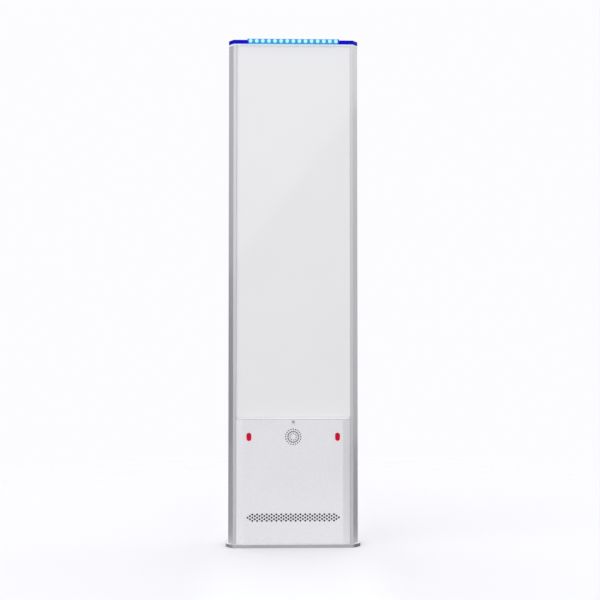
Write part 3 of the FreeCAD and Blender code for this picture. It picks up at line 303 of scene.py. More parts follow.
def cap_blue(tree, surface):
    """Lit from within, brightest at mid width and dimmer along the lower edge."""
    pos = tree.coords()
    x, y, z = tree.xyz()
    middle = tree.remap(tree.size(x), span=(0.135, 0.205), to=(1.0, 0.0))
    strength = tree.times(tree.remap(z, span=(1.585, 1.597), to=(0.75, 1.0)),
                          tree.clouds(pos, scale=60.0, detail=2.0, to=(0.92, 1.05)),
                          0.82)  # overall strength
    surface(Base_Color=(0.003, 0.0, 0.22, 1), Roughness=0.12, IOR=1.49,
            Specular_IOR_Level=0.06, Emission_Strength=strength,
            Emission_Color=tree.mix(middle, low=srgb(2, 0, 150), high=srgb(10, 0, 214)),
            Normal=tree.bump(tree.noise(pos, scale=400.0), strength=0.05, distance=0.0001,
                             normal=tree.round_edges(radius=0.001, samples=3)))


def lens_clear_blue(tree, surface):
    x, y, z = tree.xyz()
    # distance to the nearest lamp, in pitches: 0 at a lamp, 0.5 between two
    phase = tree.calc("DIVIDE", x, LAMP_PITCH / 1000)
    phase = tree.size(tree.minus(phase, tree.calc("ROUND", phase)))
    core = tree.remap(phase, span=(0.08, 0.40), to=(1.0, 0.0))
    above = tree.remap(z, span=(1.5868, 1.5925))
    top = tree.remap(z, span=(1.5960, 1.5995), to=(1.0, 0.35))
    inner = tree.remap(tree.size(x), span=(0.1385, 0.1445), to=(1.0, 0.0))
    between = tree.mix(above, low=srgb(48, 150, 214), high=srgb(76, 152, 208))
    color = tree.mix(tree.times(core, above, top), low=between, high=srgb(126, 214, 255))
    color = tree.mix(inner, low=srgb(20, 10, 190), high=color)
    strength = tree.times(
        tree.clouds(tree.coords(), scale=180.0, detail=2.0, to=(0.93, 1.05)),
        0.95)  # overall strength
    surface(Base_Color=(0.005, 0.02, 0.08, 1), Roughness=0.1, IOR=1.49,
            Specular_IOR_Level=0.08, Emission_Color=color, Emission_Strength=strength,
            Normal=tree.bump(tree.noise(tree.coords(), scale=500.0), strength=0.05,
                             distance=0.0001,
                             normal=tree.round_edges(radius=0.0006, samples=2)))


def lamp_glow(tree, surface):
    color = tree.mix(tree.clouds(tree.coords(), scale=900.0),
                     low=srgb(166, 250, 255), high=srgb(196, 255, 255))
    surface(Base_Color=(0.02, 0.10, 0.12, 1), Roughness=0.2, Specular_IOR_Level=0.1,
            Emission_Color=color, Emission_Strength=1.0)


def opal(tree, surface):
    glow = tree.mix(tree.remap(tree.xyz()[2], span=(1.5815, 1.5848)),
                    low=(0.88, 0.92, 0.90, 1), high=srgb(150, 205, 240))
    surface(Base_Color=tree.tint((0.84, 0.88, 0.92), spread=0.01, scale=40.0),
            Roughness=0.35, Emission_Color=glow, Emission_Strength=0.22,
            Subsurface_Weight=0.1,
            Normal=tree.bump(tree.noise(tree.coords(), scale=900.0), strength=0.05,
                             distance=0.0001,
                             normal=tree.round_edges(radius=0.0006, samples=2)))


def plastic(color, rough, spread=0.06, grain=1200.0):
    def fill(tree, surface):
        pos = tree.coords()
        surface(Base_Color=tree.tint(color, spread, scale=45.0), IOR=1.5,
                Roughness=tree.clouds(pos, scale=260.0, to=(rough - 0.06, rough + 0.06)),
                Normal=tree.bump(tree.voronoi(pos, grain), strength=0.12, distance=0.00006,
                                 normal=tree.round_edges(radius=0.0004, samples=2)))
    return fill


def metal(color, rough):
    def fill(tree, surface):
        brushed = tree.noise(tree.coords(scale=(500, 500, 20)), scale=1.0)
        surface(Base_Color=tree.tint(color, spread=0.06, scale=30.0), Metallic=0.9,
                Roughness=tree.remap(brushed, span=(0.3, 0.7),
                                     to=(rough - 0.07, rough + 0.07)),
                Normal=tree.bump(brushed, strength=0.1, distance=0.00006,
                                 normal=tree.round_edges(radius=0.0004, samples=2)))
    return fill


def cable_black(tree, surface):
    pos = tree.coords()
    surface(Base_Color=tree.tint((0.025, 0.025, 0.028), spread=0.2, scale=60.0),
            Roughness=tree.clouds(pos, scale=500.0, to=(0.42, 0.6)),
            Normal=tree.bump(tree.noise(pos, scale=900.0), strength=0.15, distance=0.0001))


def board_green(tree, surface):
    """Solder mask with routed tracks and pads."""
    pos = tree.coords()
    black, white = (0, 0, 0, 1), (1, 1, 1, 1)
    tracks = tree.new("ShaderNodeTexBrick")
    # turned so that the pattern lies in the upright plane of the board
    tree.put(tracks.inputs["Vector"], tree.coords(rotation=(math.radians(90), 0, 0)))
    for key, value in {"Scale": 42.0, "Mortar Size": 0.035, "Brick Width": 0.9,
                       "Row Height": 0.12, "Color1": black, "Color2": black,
                       "Mortar": white}.items():
        tracks.inputs[key].default_value = value
    lines = tree.times(tracks.outputs["Color"],
                       tree.remap(tree.noise(pos, scale=22.0, detail=2.0),
                                  span=(0.45, 0.55)))
    color = tree.mix(lines, low=tree.tint((0.012, 0.12, 0.05), spread=0.15, scale=25.0),
                     high=(0.04, 0.26, 0.11, 1))
    pads = tree.times(
        tree.remap(tree.voronoi(pos, scale=190.0), span=(0.10, 0.16), to=(1.0, 0.0)),
        tree.remap(tree.noise(pos, scale=18.0, detail=1.0), span=(0.5, 0.55)))
    pad_metallic = 0.8
    surface(Base_Color=tree.mix(pads, low=color, high=(0.62, 0.60, 0.52, 1)),
            Roughness=0.28, Metallic=tree.times(pads, pad_metallic), Coat_Weight=0.4,
            Normal=tree.bump(lines, strength=0.3, distance=0.00008,
                             normal=tree.round_edges(radius=0.0003, samples=2)))


def screen_cloth(tree, surface):
    """Fine black mesh: two crossed sets of slanting threads."""
    x, y, z = tree.xyz()
    frequency = 3400.0  # radians per metre
    threads = [tree.size(tree.calc("SINE", tree.times(tree.calc(way, x, z), frequency)))
               for way in ("ADD", "SUBTRACT")]
    weave = tree.calc("MAXIMUM", *threads)
    color = tree.mix(tree.remap(weave, span=(0.3, 0.95)),
                     low=(0.012, 0.012, 0.014, 1), high=(0.06, 0.06, 0.065, 1))
    surface(Base_Color=color, Roughness=0.85,
            Normal=tree.bump(weave, strength=0.5, distance=0.0002))


def cone_paper(tree, surface):
    fibres = tree.noise(tree.coords(), scale=1500.0, detail=5.0, rough=0.7)
    surface(Base_Color=tree.tint((0.055, 0.052, 0.05), spread=0.3, scale=400.0),
            Roughness=0.8, Normal=tree.bump(fibres, strength=0.5, distance=0.0002))


def material(name, fill):
    made = bpy.data.materials.new(name)
    tree = Tree(made)
    output = tree.new("ShaderNodeOutputMaterial")
    shader = tree.new("ShaderNodeBsdfPrincipled")
    tree.put(output.inputs[0], shader.outputs[0])

    def surface(**inputs):
        for key, value in inputs.items():
            tree.put(shader.inputs[key.replace("_", " ")], value)
    fill(tree, surface)
    return made


FILLS = {
    "upright_aluminium": upright_aluminium,
    "base_grey": base_grey,
    "zinc_steel": zinc_steel,
    "screw_steel": screw_steel,
    "panel_white": panel_white,
    "cover_white": cover_white,
    "window_red": window_red,
    "cap_blue": cap_blue,
    "lens_clear_blue": lens_clear_blue,
    "lamp_glow": lamp_glow,
    "opal": opal,
    "black_plastic": plastic((0.022, 0.022, 0.025), rough=0.45),
    "rocker_red": plastic((0.42, 0.012, 0.01), rough=0.3, spread=0.05, grain=900.0),
    "button_green": plastic((0.02, 0.26, 0.07), rough=0.32, spread=0.05),
    "black_rubber": plastic((0.02, 0.02, 0.02), rough=0.7, spread=0.15),
    "cable_black": cable_black,
    "board_green": board_green,
    "board_white": plastic((0.72, 0.73, 0.72), rough=0.35, spread=0.03),
    "terminal_cream": plastic((0.60, 0.57, 0.45), rough=0.4, spread=0.05),
    "supply_steel": metal((0.60, 0.61, 0.62), rough=0.42),
    "reader_black": metal((0.05, 0.052, 0.056), rough=0.4),
    "socket_brass": metal((0.72, 0.52, 0.20), rough=0.25),
    "aerial_metal": metal((0.72, 0.72, 0.73), rough=0.38),
    "spacer_nylon": plastic((0.78, 0.76, 0.68), rough=0.5, spread=0.05),
    "basket_steel": metal((0.04, 0.04, 0.042), rough=0.45),
    "cone_paper": cone_paper,
    "screen_cloth": screen_cloth,
}
MATERIALS = {slot: material("mat_" + slot, fill) for slot, fill in FILLS.items()}

slot_of = {part["node"]: part["material_slot"] for part in frame["record"]["subparts"]}
for name, part in frame["nodes"].items():
    if not part.material_slots:
        part.data.materials.append(MATERIALS[slot_of[name]])
    for material_slot in part.material_slots:
        material_slot.material = MATERIALS[slot_of[name]]


# ------------------------------------------------------------ mesh helpers
def mesh_piece(name, bm, slot, body="frame", angle=40):
    """Turn a bmesh into a piece; edges sharper than angle stay sharp, None is flat."""
    mesh = bpy.data.meshes.new(name)
    bmesh.ops.recalc_face_normals(bm, faces=bm.faces)
    bm.to_mesh(mesh)
    bm.free()
    piece = bpy.data.objects.new(name, mesh)
    scene.collection.objects.link(piece)
    mesh.materials.append(MATERIALS[slot])
    if angle is not None:
        for face in mesh.polygons:
            face.use_smooth = True
        mesh.set_sharp_from_angle(angle=math.radians(angle))
    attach(piece, body)


def add_ring(bm, points):
    return [bm.verts.new([v / 1000.0 for v in point]) for point in points]


def join_rings(bm, rings):
    for ring, following in zip(rings, rings[1:]):
        count = len(ring)
        for i in range(count):
            j = (i + 1) % count
            bm.faces.new((ring[i], ring[j], following[j], following[i]))


def loft(bm, rings):
    """Skin a row of rings and close both ends."""
    join_rings(bm, rings)
    bm.faces.new(rings[0])
    bm.faces.new(rings[-1])


def blocks(name, slot, boxes, body="frame", bevel=0.3, seg=2):
    """Bevelled boxes (x0, x1, y0, y1, z0, z1[, own bevel]) as one piece."""
    bm = bmesh.new()
    for box in boxes:
        x0, x1, y0, y1, z0, z1 = [v / 1000.0 for v in box[:6]]
        offset = (box[6] if len(box) > 6 else bevel) / 1000.0
        verts = bmesh.ops.create_cube(bm, size=1.0)["verts"]
        for vert in verts:
            vert.co = Vector(((x0 + x1) / 2 + vert.co.x * (x1 - x0),
                              (y0 + y1) / 2 + vert.co.y * (y1 - y0),
                              (z0 + z1) / 2 + vert.co.z * (z1 - z0)))
        edges = list({edge for vert in verts for edge in vert.link_edges})
        bmesh.ops.bevel(bm, geom=edges, offset=offset, segments=seg, profile=0.6,
                        affect="EDGES")
    mesh_piece(name, bm, slot, body)


def turned(name, slot, profile, places, axis="-Y", steps=20):
    """Lathe one profile of (radius, height) along an axis from each place."""
    sign = -1 if axis[0] == "-" else 1
    bm = bmesh.new()
    for place in places:
        origin = Vector([v / 1000.0 for v in place])
        rings = []
        for radius, height in profile:
            rise = sign * height / 1000.0
            ring = []
            for i in range(steps):
                turn = 2 * math.pi * i / steps
                c = radius / 1000.0 * math.cos(turn)
                s = radius / 1000.0 * math.sin(turn)
                offset = (c, rise, s) if axis[1] == "Y" else (c, s, rise)
                ring.append(bm.verts.new(origin + Vector(offset)))
            rings.append(ring)
        loft(bm, rings)
    mesh_piece(name, bm, slot, angle=30)


def smooth_path(points, steps=8):
    """Catmull-Rom curve through the points, in metres."""
    path = [Vector(point) / 1000.0 for point in points]
    last = len(path) - 1
    fine = []
    for i in range(last):
        p0, p1, p2, p3 = path[max(i - 1, 0)], path[i], path[i + 1], path[min(i + 2, last)]
        for k in range(steps):
            u = k / steps
            fine.append(0.5 * ((2 * p1) + (p2 - p0) * u
                               + (2 * p0 - 5 * p1 + 4 * p2 - p3) * u * u
                               + (3 * p1 - p0 - 3 * p2 + p3) * u ** 3))
    return fine + [path[-1]]


def wires(name, slot, runs, radius):
    """Curved eight-sided leads, joined into one piece."""
    bm = bmesh.new()
    for points in runs:
        path = smooth_path(points)
        rings = []
        side = None
        for i, centre in enumerate(path):
            along = (path[min(i + 1, len(path) - 1)] - path[max(i - 1, 0)]).normalized()
            if side is None:
                side = along.orthogonal().normalized()
            side = (side - along * side.dot(along)).normalized()
            other = along.cross(side)
            rings.append([bm.verts.new(centre + (side * math.cos(turn)
                                                 + other * math.sin(turn)) * radius / 1000.0)
                          for turn in [j * math.pi / 4 for j in range(8)]])
        loft(bm, rings)
    mesh_piece(name, bm, slot, angle=60)


def pan_head(radius, height):
    """Profile of a pan screw head standing on its bearing face."""
    return [(radius, 0.0), (radius, height * 0.35), (radius * 0.93, height * 0.68),
            (radius * 0.72, height * 0.9), (radius * 0.4, height), (0.3, height)]


# ------------------------------------------------------------ lamps and covers
# lit domes on the two lens bars, one in front of each lamp
DOME_Z, DOME_RADIUS, DOME_HEIGHT = 1592.8, 5.6, 1.2
dome = [(DOME_RADIUS, -0.4)]
dome += [(DOME_RADIUS * math.cos(turn), DOME_HEIGHT * math.sin(turn))
         for turn in [k * math.pi / 12 for k in range(6)]]
dome += [(0.6, DOME_HEIGHT)]
for side, corner, axis in (("front", 0, "-Y"), ("rear", 1, "+Y")):
    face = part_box(side + "_lamp_lens")[corner].y * 1000
    turned(side + "_lamp_domes", "lamp_glow", dome,
           [((i - LAMP_COUNT // 2) * LAMP_PITCH, face, DOME_Z) for i in range(LAMP_COUNT)],
           axis, steps=24)

# sill strip on the base along the foot of each cover, following its sloping ends
SILL_INNER = [(-178.6, 45.4), (-156.06, 55.3), (156.06, 55.3), (178.6, 45.4)]  # x, y
SILL_OUTER = [(-178.9, 46.1), (-156.2, 56.0), (156.2, 56.0), (178.9, 46.1)]
for side, sign in (("front", -1), ("rear", 1)):
    bm = bmesh.new()
    rings = []
    for (xi, yi), (xo, yo) in zip(SILL_INNER, SILL_OUTER):
        section = [(xi, yi, 9.4), (xo, yo, 9.4), (xo, yo, 12.7),
                   ((xi + xo) / 2, (yi + yo) / 2, 13.05), (xi, yi, 12.8)]
        rings.append(add_ring(bm, [(x, sign * y, z) for x, y, z in section]))
    join_rings(bm, rings)
    bm.faces.new(rings[0])
    bm.faces.new(list(reversed(rings[-1])))
    # a first pass, so that the one in mesh_piece starts from settled normals
    bmesh.ops.recalc_face_normals(bm, faces=bm.faces)
    mesh_piece(side + "_sill_strip", bm, "cover_white", angle=30)

# foam strips inside the service cover and the rear cover: x0, x1, z0, z1
FOAM = [(-154.6, -149.6, 125, 372), (149.6, 154.6, 125, 372),
        (-140, -45, 381, 386), (45, 140, 381, 386)]
for side, body, sign in (("front", "service_cover", -1), ("rear", "frame", 1)):
    y0, y1 = sorted((sign * 52.45, sign * 50.6))
    blocks(side + "_cover_foam", "black_rubber",
           [(x0, x1, y0, y1, z0, z1, 0.7) for x0, x1, z0, z1 in FOAM], body)

# a flat-topped upright rib at each side of the service cover's inner face
RIB = [(-122, -52.48), (-122, -52.2), (-119, -49.6),
       (-108, -49.6), (-105, -52.2), (-105, -52.48)]  # x, y
bm = bmesh.new()
for sign in (-1, 1):
    loft(bm, [add_ring(bm, [(sign * x, y, z) for x, y in RIB]) for z in (150, 262)])
mesh_piece("cover_stiffeners", bm, "cover_white", "service_cover", angle=None)

# earth studs with hexagonal nuts and round washers, standing on the base
STUDS = [(-92, -28, 10.02), (100, -28, 10.02)]
turned("earth_studs", "socket_brass",
       [(3.9, 0), (3.9, 3.0), (3.2, 3.4), (2.2, 3.4), (2.0, 6.0), (0.4, 6.2)],
       STUDS, "+Z", steps=6)
turned("earth_washers", "screw_steel", [(5.4, 0.0), (5.4, 0.7), (5.0, 1.0), (4.0, 1.0)],
       STUDS, "+Z", steps=24)

# ------------------------------------------------------------ control board
BOARD_Y = -20.04  # front face of the board


def on_board(x0, x1, rise, z0, z1, *bevel, gap=0):
    """Box from gap to rise in front of the board."""
    return (x0, x1, BOARD_Y - rise, BOARD_Y - gap, z0, z1, *bevel)


# processors and smaller chips: x0, x1, rise, z0, z1
CHIPS = [(-24, 2, 2.2, 166, 188), (24, 40, 1.8, 168, 178), (24, 40, 1.8, 183, 193),
         (58, 76, 2.0, 167, 185), (92, 104, 1.6, 168, 174), (92, 104, 1.6, 180, 186),
         (92, 104, 1.6, 192, 198), (-48, -38, 1.6, 182, 188)]
LEG_PITCH, LEG_HALF, LEG_INSET = 1.6, 0.3, 1.4
FOUR_SIDED = 17  # chips wider than this have legs on all four sides


def leg_places(low, high):
    """Centres of the legs along one edge of a chip."""
    count = max(int((high - low - 2) / LEG_PITCH), 2)
    return [low + LEG_INSET + i * (high - low - 2 * LEG_INSET) / (count - 1)
            for i in range(count)]


def leg_spans(low, high):
    """Reach of the legs past two opposite edges."""
    return (low - 1.7, low + 0.2), (high - 0.2, high + 1.7)


blocks("board_chips", "black_plastic", [on_board(*chip) for chip in CHIPS], bevel=0.4)
legs = []
for x0, x1, rise, z0, z1 in CHIPS:
    for x in leg_places(x0, x1):
        legs += [on_board(x - LEG_HALF, x + LEG_HALF, 0.5, low, high, 0.1, gap=0.02)
                 for low, high in leg_spans(z0, z1)]
    if x1 - x0 > FOUR_SIDED:
        for z in leg_places(z0, z1):
            legs += [on_board(low, high, 0.5, z - LEG_HALF, z + LEG_HALF, 0.1, gap=0.02)
                     for low, high in leg_spans(x0, x1)]
blocks("chip_legs", "screw_steel", legs, seg=1)

# scattered small parts, kept clear of the chips and the heat sink
PART_ROWS = [158.5, 161.5, 199.5, 234.0, 237.0, 240.0, 246.0]  # z
PART_SIZES = [(2.0, 1.2), (1.2, 2.0), (3.0, 1.6)]  # width, height
small = []
for i in range(64):
    x = random.uniform(-50, 150)
    z = random.choice(PART_ROWS)
    width, height = random.choice(PART_SIZES)
    by_chip = any(x0 - 3 < x < x1 + 3 and z0 - 4 < z < z1 + 4 for x0, x1, _, z0, z1 in CHIPS)
    by_sink = 126 < x < 160 and 160 < z < 206
    if not (by_chip or by_sink):
        small.append(on_board(x - width / 2, x + width / 2, 0.7,
                              z - height / 2, z + height / 2, 0.15, gap=0.02))
blocks("board_small_parts", "spacer_nylon", small[0::2], seg=1)
blocks("board_small_caps", "socket_brass", small[1::2], seg=1)

blocks("board_inductors", "reader_black",
       [on_board(-6, 5, 6, 238, 249, 1.5), on_board(12, 21, 5, 239, 248, 1.5),
        on_board(70, 79, 5, 205, 214, 1.2)], seg=3)
blocks("board_crystal", "aerial_metal",
       [on_board(8, 19, 3.4, 163, 167.5, 1.6), on_board(108, 116, 2.6, 159, 163, 1.2)], seg=4)

FIN_PITCH = 4.13
blocks("board_heat_sink", "aerial_metal",
       [on_board(128, 158, 3, 166, 200, 0.4)]
       + [on_board(128 + FIN_PITCH * i, 129.3 + FIN_PITCH * i, 15, 166, 200, 0.4, gap=2.5)
          for i in range(8)])
blocks("relay_lids", "black_plastic",
       [(-34 + 24 * i, -18 + 24 * i, -37.0, -35.6, 206, 226, 0.6) for i in range(4)], seg=3)

# rimmed capacitor tops, each with a dark cross of painted shade for the scored vent
CAN_Z = 222
can_places = [(85 + 17 * i, -38.02, CAN_Z) for i in range(3)]
turned("capacitor_tops", "aerial_metal",
       [(6.2, -0.2), (6.2, 0.25), (5.4, 0.35), (4.9, 0.15), (0.5, 0.15)],
       can_places, steps=28)
blocks("capacitor_vent_shade", "black_plastic",
       [(x - a, x + a, -38.32, -38.05, CAN_Z - b, CAN_Z + b, 0.05)
        for x, _, _ in can_places for a, b in ((3.6, 0.25), (0.25, 3.6))], seg=1)

turned("board_screws", "screw_steel", pan_head(3.0, 1.9),
       [(x, BOARD_Y, z) for z in (141, 256) for x in (-52, 159)])

# plug-in headers along the lower edge, five contacts each
plug_starts = [-40 + 32 * i for i in range(6)]
blocks("board_plugs", "spacer_nylon",
       [(x + 1.2, x + 20.8, -34.5, -28.8, 141, 149, 0.7) for x in plug_starts], seg=3)
blocks("plug_contacts", "socket_brass",
       [(x + 2.6 + 4 * k, x + 4.2 + 4 * k, -34.9, -34.3, 143.6, 146.4, 0.2)
        for x in plug_starts for k in range(5)], seg=1)

# status lamps and trimmers near the board's top edge
LAMP_PROFILE = [(1.6, 0), (1.6, 1.6), (1.4, 2.3), (0.9, 2.8), (0.2, 3.0)]
for name, slot, row in (("board_lamps_red", "window_red", (60, 74)),
                        ("board_lamps_green", "button_green", (67, 81, 88))):
    turned(name, slot, LAMP_PROFILE, [(x, BOARD_Y, 252) for x in row])
TRIMMER_X, TRIMMER_Z, TRIMMER_HALF = (100, 108, 116), 250, 3.3
turned("board_trimmers", "socket_brass", [(2.6, 0), (2.6, 2.0), (2.3, 2.5), (0.5, 2.5)],
       [(x, BOARD_Y, TRIMMER_Z) for x in TRIMMER_X])
blocks("trimmer_bases", "black_plastic",
       [on_board(x - TRIMMER_HALF, x + TRIMMER_HALF, 1.2,
                 TRIMMER_Z - TRIMMER_HALF, TRIMMER_Z + TRIMMER_HALF, 0.3)
        for x in TRIMMER_X])

# ------------------------------------------------------------ terminals and supply
# terminal block: clamp screws, thin black bars on their heads as painted shade for the slots,
# and barrier walls
clamp_x = [-57 + 10 * i for i in range(6)]
turned("terminal_screws", "screw_steel", [(2.3, 0.4), (2.3, -0.4), (2.0, -0.8), (0.4, -0.8)],
       [(x, -20.5, 118.6) for x in clamp_x], "-Z")
blocks("terminal_slot_shade", "black_plastic",
       [(x - 1.9, x + 1.9, -20.8, -20.2, 119.3, 119.6, 0.1) for x in clamp_x], seg=1)
blocks("terminal_barriers", "terminal_cream",
       [(-62.6 + 10 * i, -61.4 + 10 * i, -31.2, -9.2, 97.6, 120.4, 0.4) for i in range(7)])

# power supply: lid edges, fixing screws and output terminals
SUPPLY_PITCH, SUPPLY_X = 7.7, -68.6
blocks("supply_lid", "supply_steel",
       [(-168.8, -71.2, -45.0, -43.6, z0, z1, 0.6)
        for z0, z1 in ((263.5, 274.6), (135.4, 145.5))], seg=3)
turned("supply_screws", "screw_steel", pan_head(2.6, 1.6),
       [(x, -45.0, z) for x in (-162, -78) for z in (140.5, 269)])
blocks("supply_terminals", "terminal_cream",
       [(-71.9, -66.2, -38, -16, 150, 196, 0.8)]
       + [(-66.4, -64.6, -39, -15, 149.4 + SUPPLY_PITCH * i, 150.6 + SUPPLY_PITCH * i, 0.3)
          for i in range(7)])
turned("supply_terminal_screws", "screw_steel",
       [(2.2, 0), (2.2, 0.9), (1.9, 1.3), (0.3, 1.3)],
       [(SUPPLY_X, -38.0, 154.2 + SUPPLY_PITCH * i) for i in range(6)])

# ------------------------------------------------------------ leads
# centre lines as (x, y, z) points; PLUG_Y is just inside the front of the plugs
PLUG_Y = -34.6
wires("lead_live", "rocker_red", [
    [(-57, -28, 111), (-57, -34, 111), (-60, -40, 118), (-66, -42, 138),
     (SUPPLY_X, -41, 150), (SUPPLY_X, -38.2, 156)]], 1.1)
wires("lead_neutral", "cable_black", [
    [(-47, -28, 111), (-47, -35, 111), (-52, -41, 120), (-63, -43.5, 142),
     (-67, -42, 157), (SUPPLY_X, -38.4, 163)]], 1.1)
wires("lead_earth", "button_green", [
    [(-37, -28, 111), (-37, -36, 110), (-44, -43, 118), (-60, -44.5, 148),
     (-66, -43, 165), (SUPPLY_X, -38.6, 171)],
    [(-7, -28, 111), (-7, -35, 109), (0, -38, 80), (40, -36, 40), (92, -31, 22),
     (100, -28, 14)]], 1.1)
wires("leads_supply_red", "rocker_red", [
    [(SUPPLY_X, -38.4, 178), (-66, -43, 184), (-58, -42, 200), (-48, -36, 196),
     (-41, -34, 170), (-33, -37, 152), (-31, PLUG_Y, 146)]], 0.9)
wires("leads_supply_black", "cable_black", [
    [(SUPPLY_X, -38.4, 186), (-65, -44, 190), (-57, -43.5, 204), (-46, -38, 200),
     (-38, -36, 172), (-29, -38, 153), (-27, PLUG_Y, 146)]], 0.9)
wires("leads_controls", "cable_black", [
    [(x, -18, start_z), (x + 2, -14, 274), (x - 6, -22, 264 + k), (150 + 3 * k, -27, 262),
     (168 + k, -27, 240), (168.5 + k, -27, 170), (150 + k, -36, 152),
     (124 + 4 * k, -38, 150), (124 + 4 * k, PLUG_Y, 146)]
    for k, (x, start_z) in enumerate(((62, 283), (85, 288), (106, 288)))], 0.8)
wires("leads_sensors", "board_white", [
    [(-139, -30, 325), (-139, -30, 300), (-120, -26, 288), (-70, -24, 286), (-61, -24, 270),
     (-61.5, -26, 170), (-50, -37, 152), (-12, -39, 150), (-4, PLUG_Y, 146)],
    [(139, -30, 325), (139, -30, 312), (160, -24, 290), (171, -24, 262), (172, -26, 180),
     (150, -40, 154), (100, -40, 151), (92, PLUG_Y, 146)]], 1.3)
wires("leads_speaker_tag", "rocker_red",
      [[(14, -29, 330), (16, -30, 318), (20, -24, 300), (22, -23, 258)]], 0.8)

# cable ties round the bundles, with their heads
TIES = [(-61.5, -25, 215), (-61.3, -24.6, 250), (170, -26.5, 205), (170.5, -26.5, 232)]
ties = []
for x, y, z in TIES:
    ties += [(x - 4.2, x + 4.2, y - 3.4, y + 3.4, z - 1.3, z + 1.3, 1.2),
             (x - 2, x + 2, y - 5.2, y - 3.0, z - 2.1, z + 2.1, 0.5)]
blocks("cable_ties", "black_plastic", ties, seg=3)

# ------------------------------------------------------------ sensors and speaker
# sensor modules: bezels round the eyes, a seam, and a strain relief under each
EYE_Z = 344.5  # the sensors and the speaker are centred at this height
sensor_x = [side * 138.6 for side in (-1, 1)]
turned("sensor_bezels", "aerial_metal",
       [(4.0, 0), (4.0, 0.9), (3.7, 1.2), (2.9, 1.2), (2.65, 0.9), (2.65, 0)],
       [(x, -44.02, EYE_Z + rise) for x in sensor_x for rise in (5, -5)], steps=28)
blocks("sensor_seams", "reader_black",
       [(x - 11.3, x + 11.3, -34.2, -33.2, 325.2, 363.8, 0.3) for x in sensor_x])
blocks("sensor_reliefs", "black_plastic",
       [(x - 4, x + 4, -34, -26, 321, 325.7, 0.8) for x in sensor_x], seg=3)

# speaker: rolled surround, dust cap and the screws of its four posts
POST_RADIUS = 31.5
turned("speaker_surround", "black_rubber",
       [(27.4, 0.9), (26.9, 1.9), (25.8, 2.4), (24.6, 2.2), (23.7, 1.4), (23.4, 0.4),
        (24.2, 0.5), (25.6, 1.1), (26.6, 0.7)], [(0, -47.9, EYE_Z)], steps=48)
turned("speaker_dust_cap", "cone_paper",
       [(9.6, 0.0), (9.3, 1.2), (8.2, 2.6), (6.0, 3.9), (3.2, 4.7), (0.4, 4.9)],
       [(0, -38.0, EYE_Z)], steps=40)
turned("speaker_post_screws", "screw_steel", pan_head(2.3, 1.3),
       [(POST_RADIUS * math.cos(turn), -48.68, EYE_Z + POST_RADIUS * math.sin(turn))
        for turn in [math.pi / 4 + k * math.pi / 2 for k in range(4)]])

# ------------------------------------------------------------ control bracket
BRACKET_Y, CONTROL_Z = -32.02, 294
turned("bracket_screws", "screw_steel", pan_head(2.2, 1.3),
       [(x, BRACKET_Y, z) for x in (51.5, 115.5) for z in (281, 305)])

# dial marks round the knob, 27 degrees apart
KNOB_X, MARK_IN, MARK_OUT, MARK_HALF = 85, 8.6, 10.2, 0.22
MARK_CORNERS = [(MARK_IN, -MARK_HALF), (MARK_OUT, -MARK_HALF),
                (MARK_OUT, MARK_HALF), (MARK_IN, MARK_HALF)]  # radius, sideways
bm = bmesh.new()
for i in range(11):
    turn = math.radians(-135 + 27 * i)
    c = math.sin(turn)
    s = math.cos(turn)
    rings = [add_ring(bm, [(KNOB_X + c * radius + s * aside, y,
                            CONTROL_Z + s * radius - c * aside)
                           for radius, aside in MARK_CORNERS])
             for y in (-32.16, -32.01)]
    for ring in rings:
        bm.faces.new(ring)
    join_rings(bm, rings)
mesh_piece("dial_marks", bm, "black_plastic", angle=None)

turned("button_nut", "screw_steel",
       [(5.6, 0.0), (5.6, 0.8), (5.2, 1.1), (4.75, 1.1), (4.75, 0.0)],
       [(106, BRACKET_Y, CONTROL_Z)], steps=32)

# rivets down both sides of the chassis plate, and a row low across it
turned("chassis_rivets", "aerial_metal", [(2.6, 0), (2.5, 0.5), (1.9, 1.0), (0.4, 1.2)],
       [(x, -8.02, z) for x in (-175, 175) for z in (100, 240, 374)]
       + [(x, -8.02, 126) for x in (-150, -100, 60, 140)])

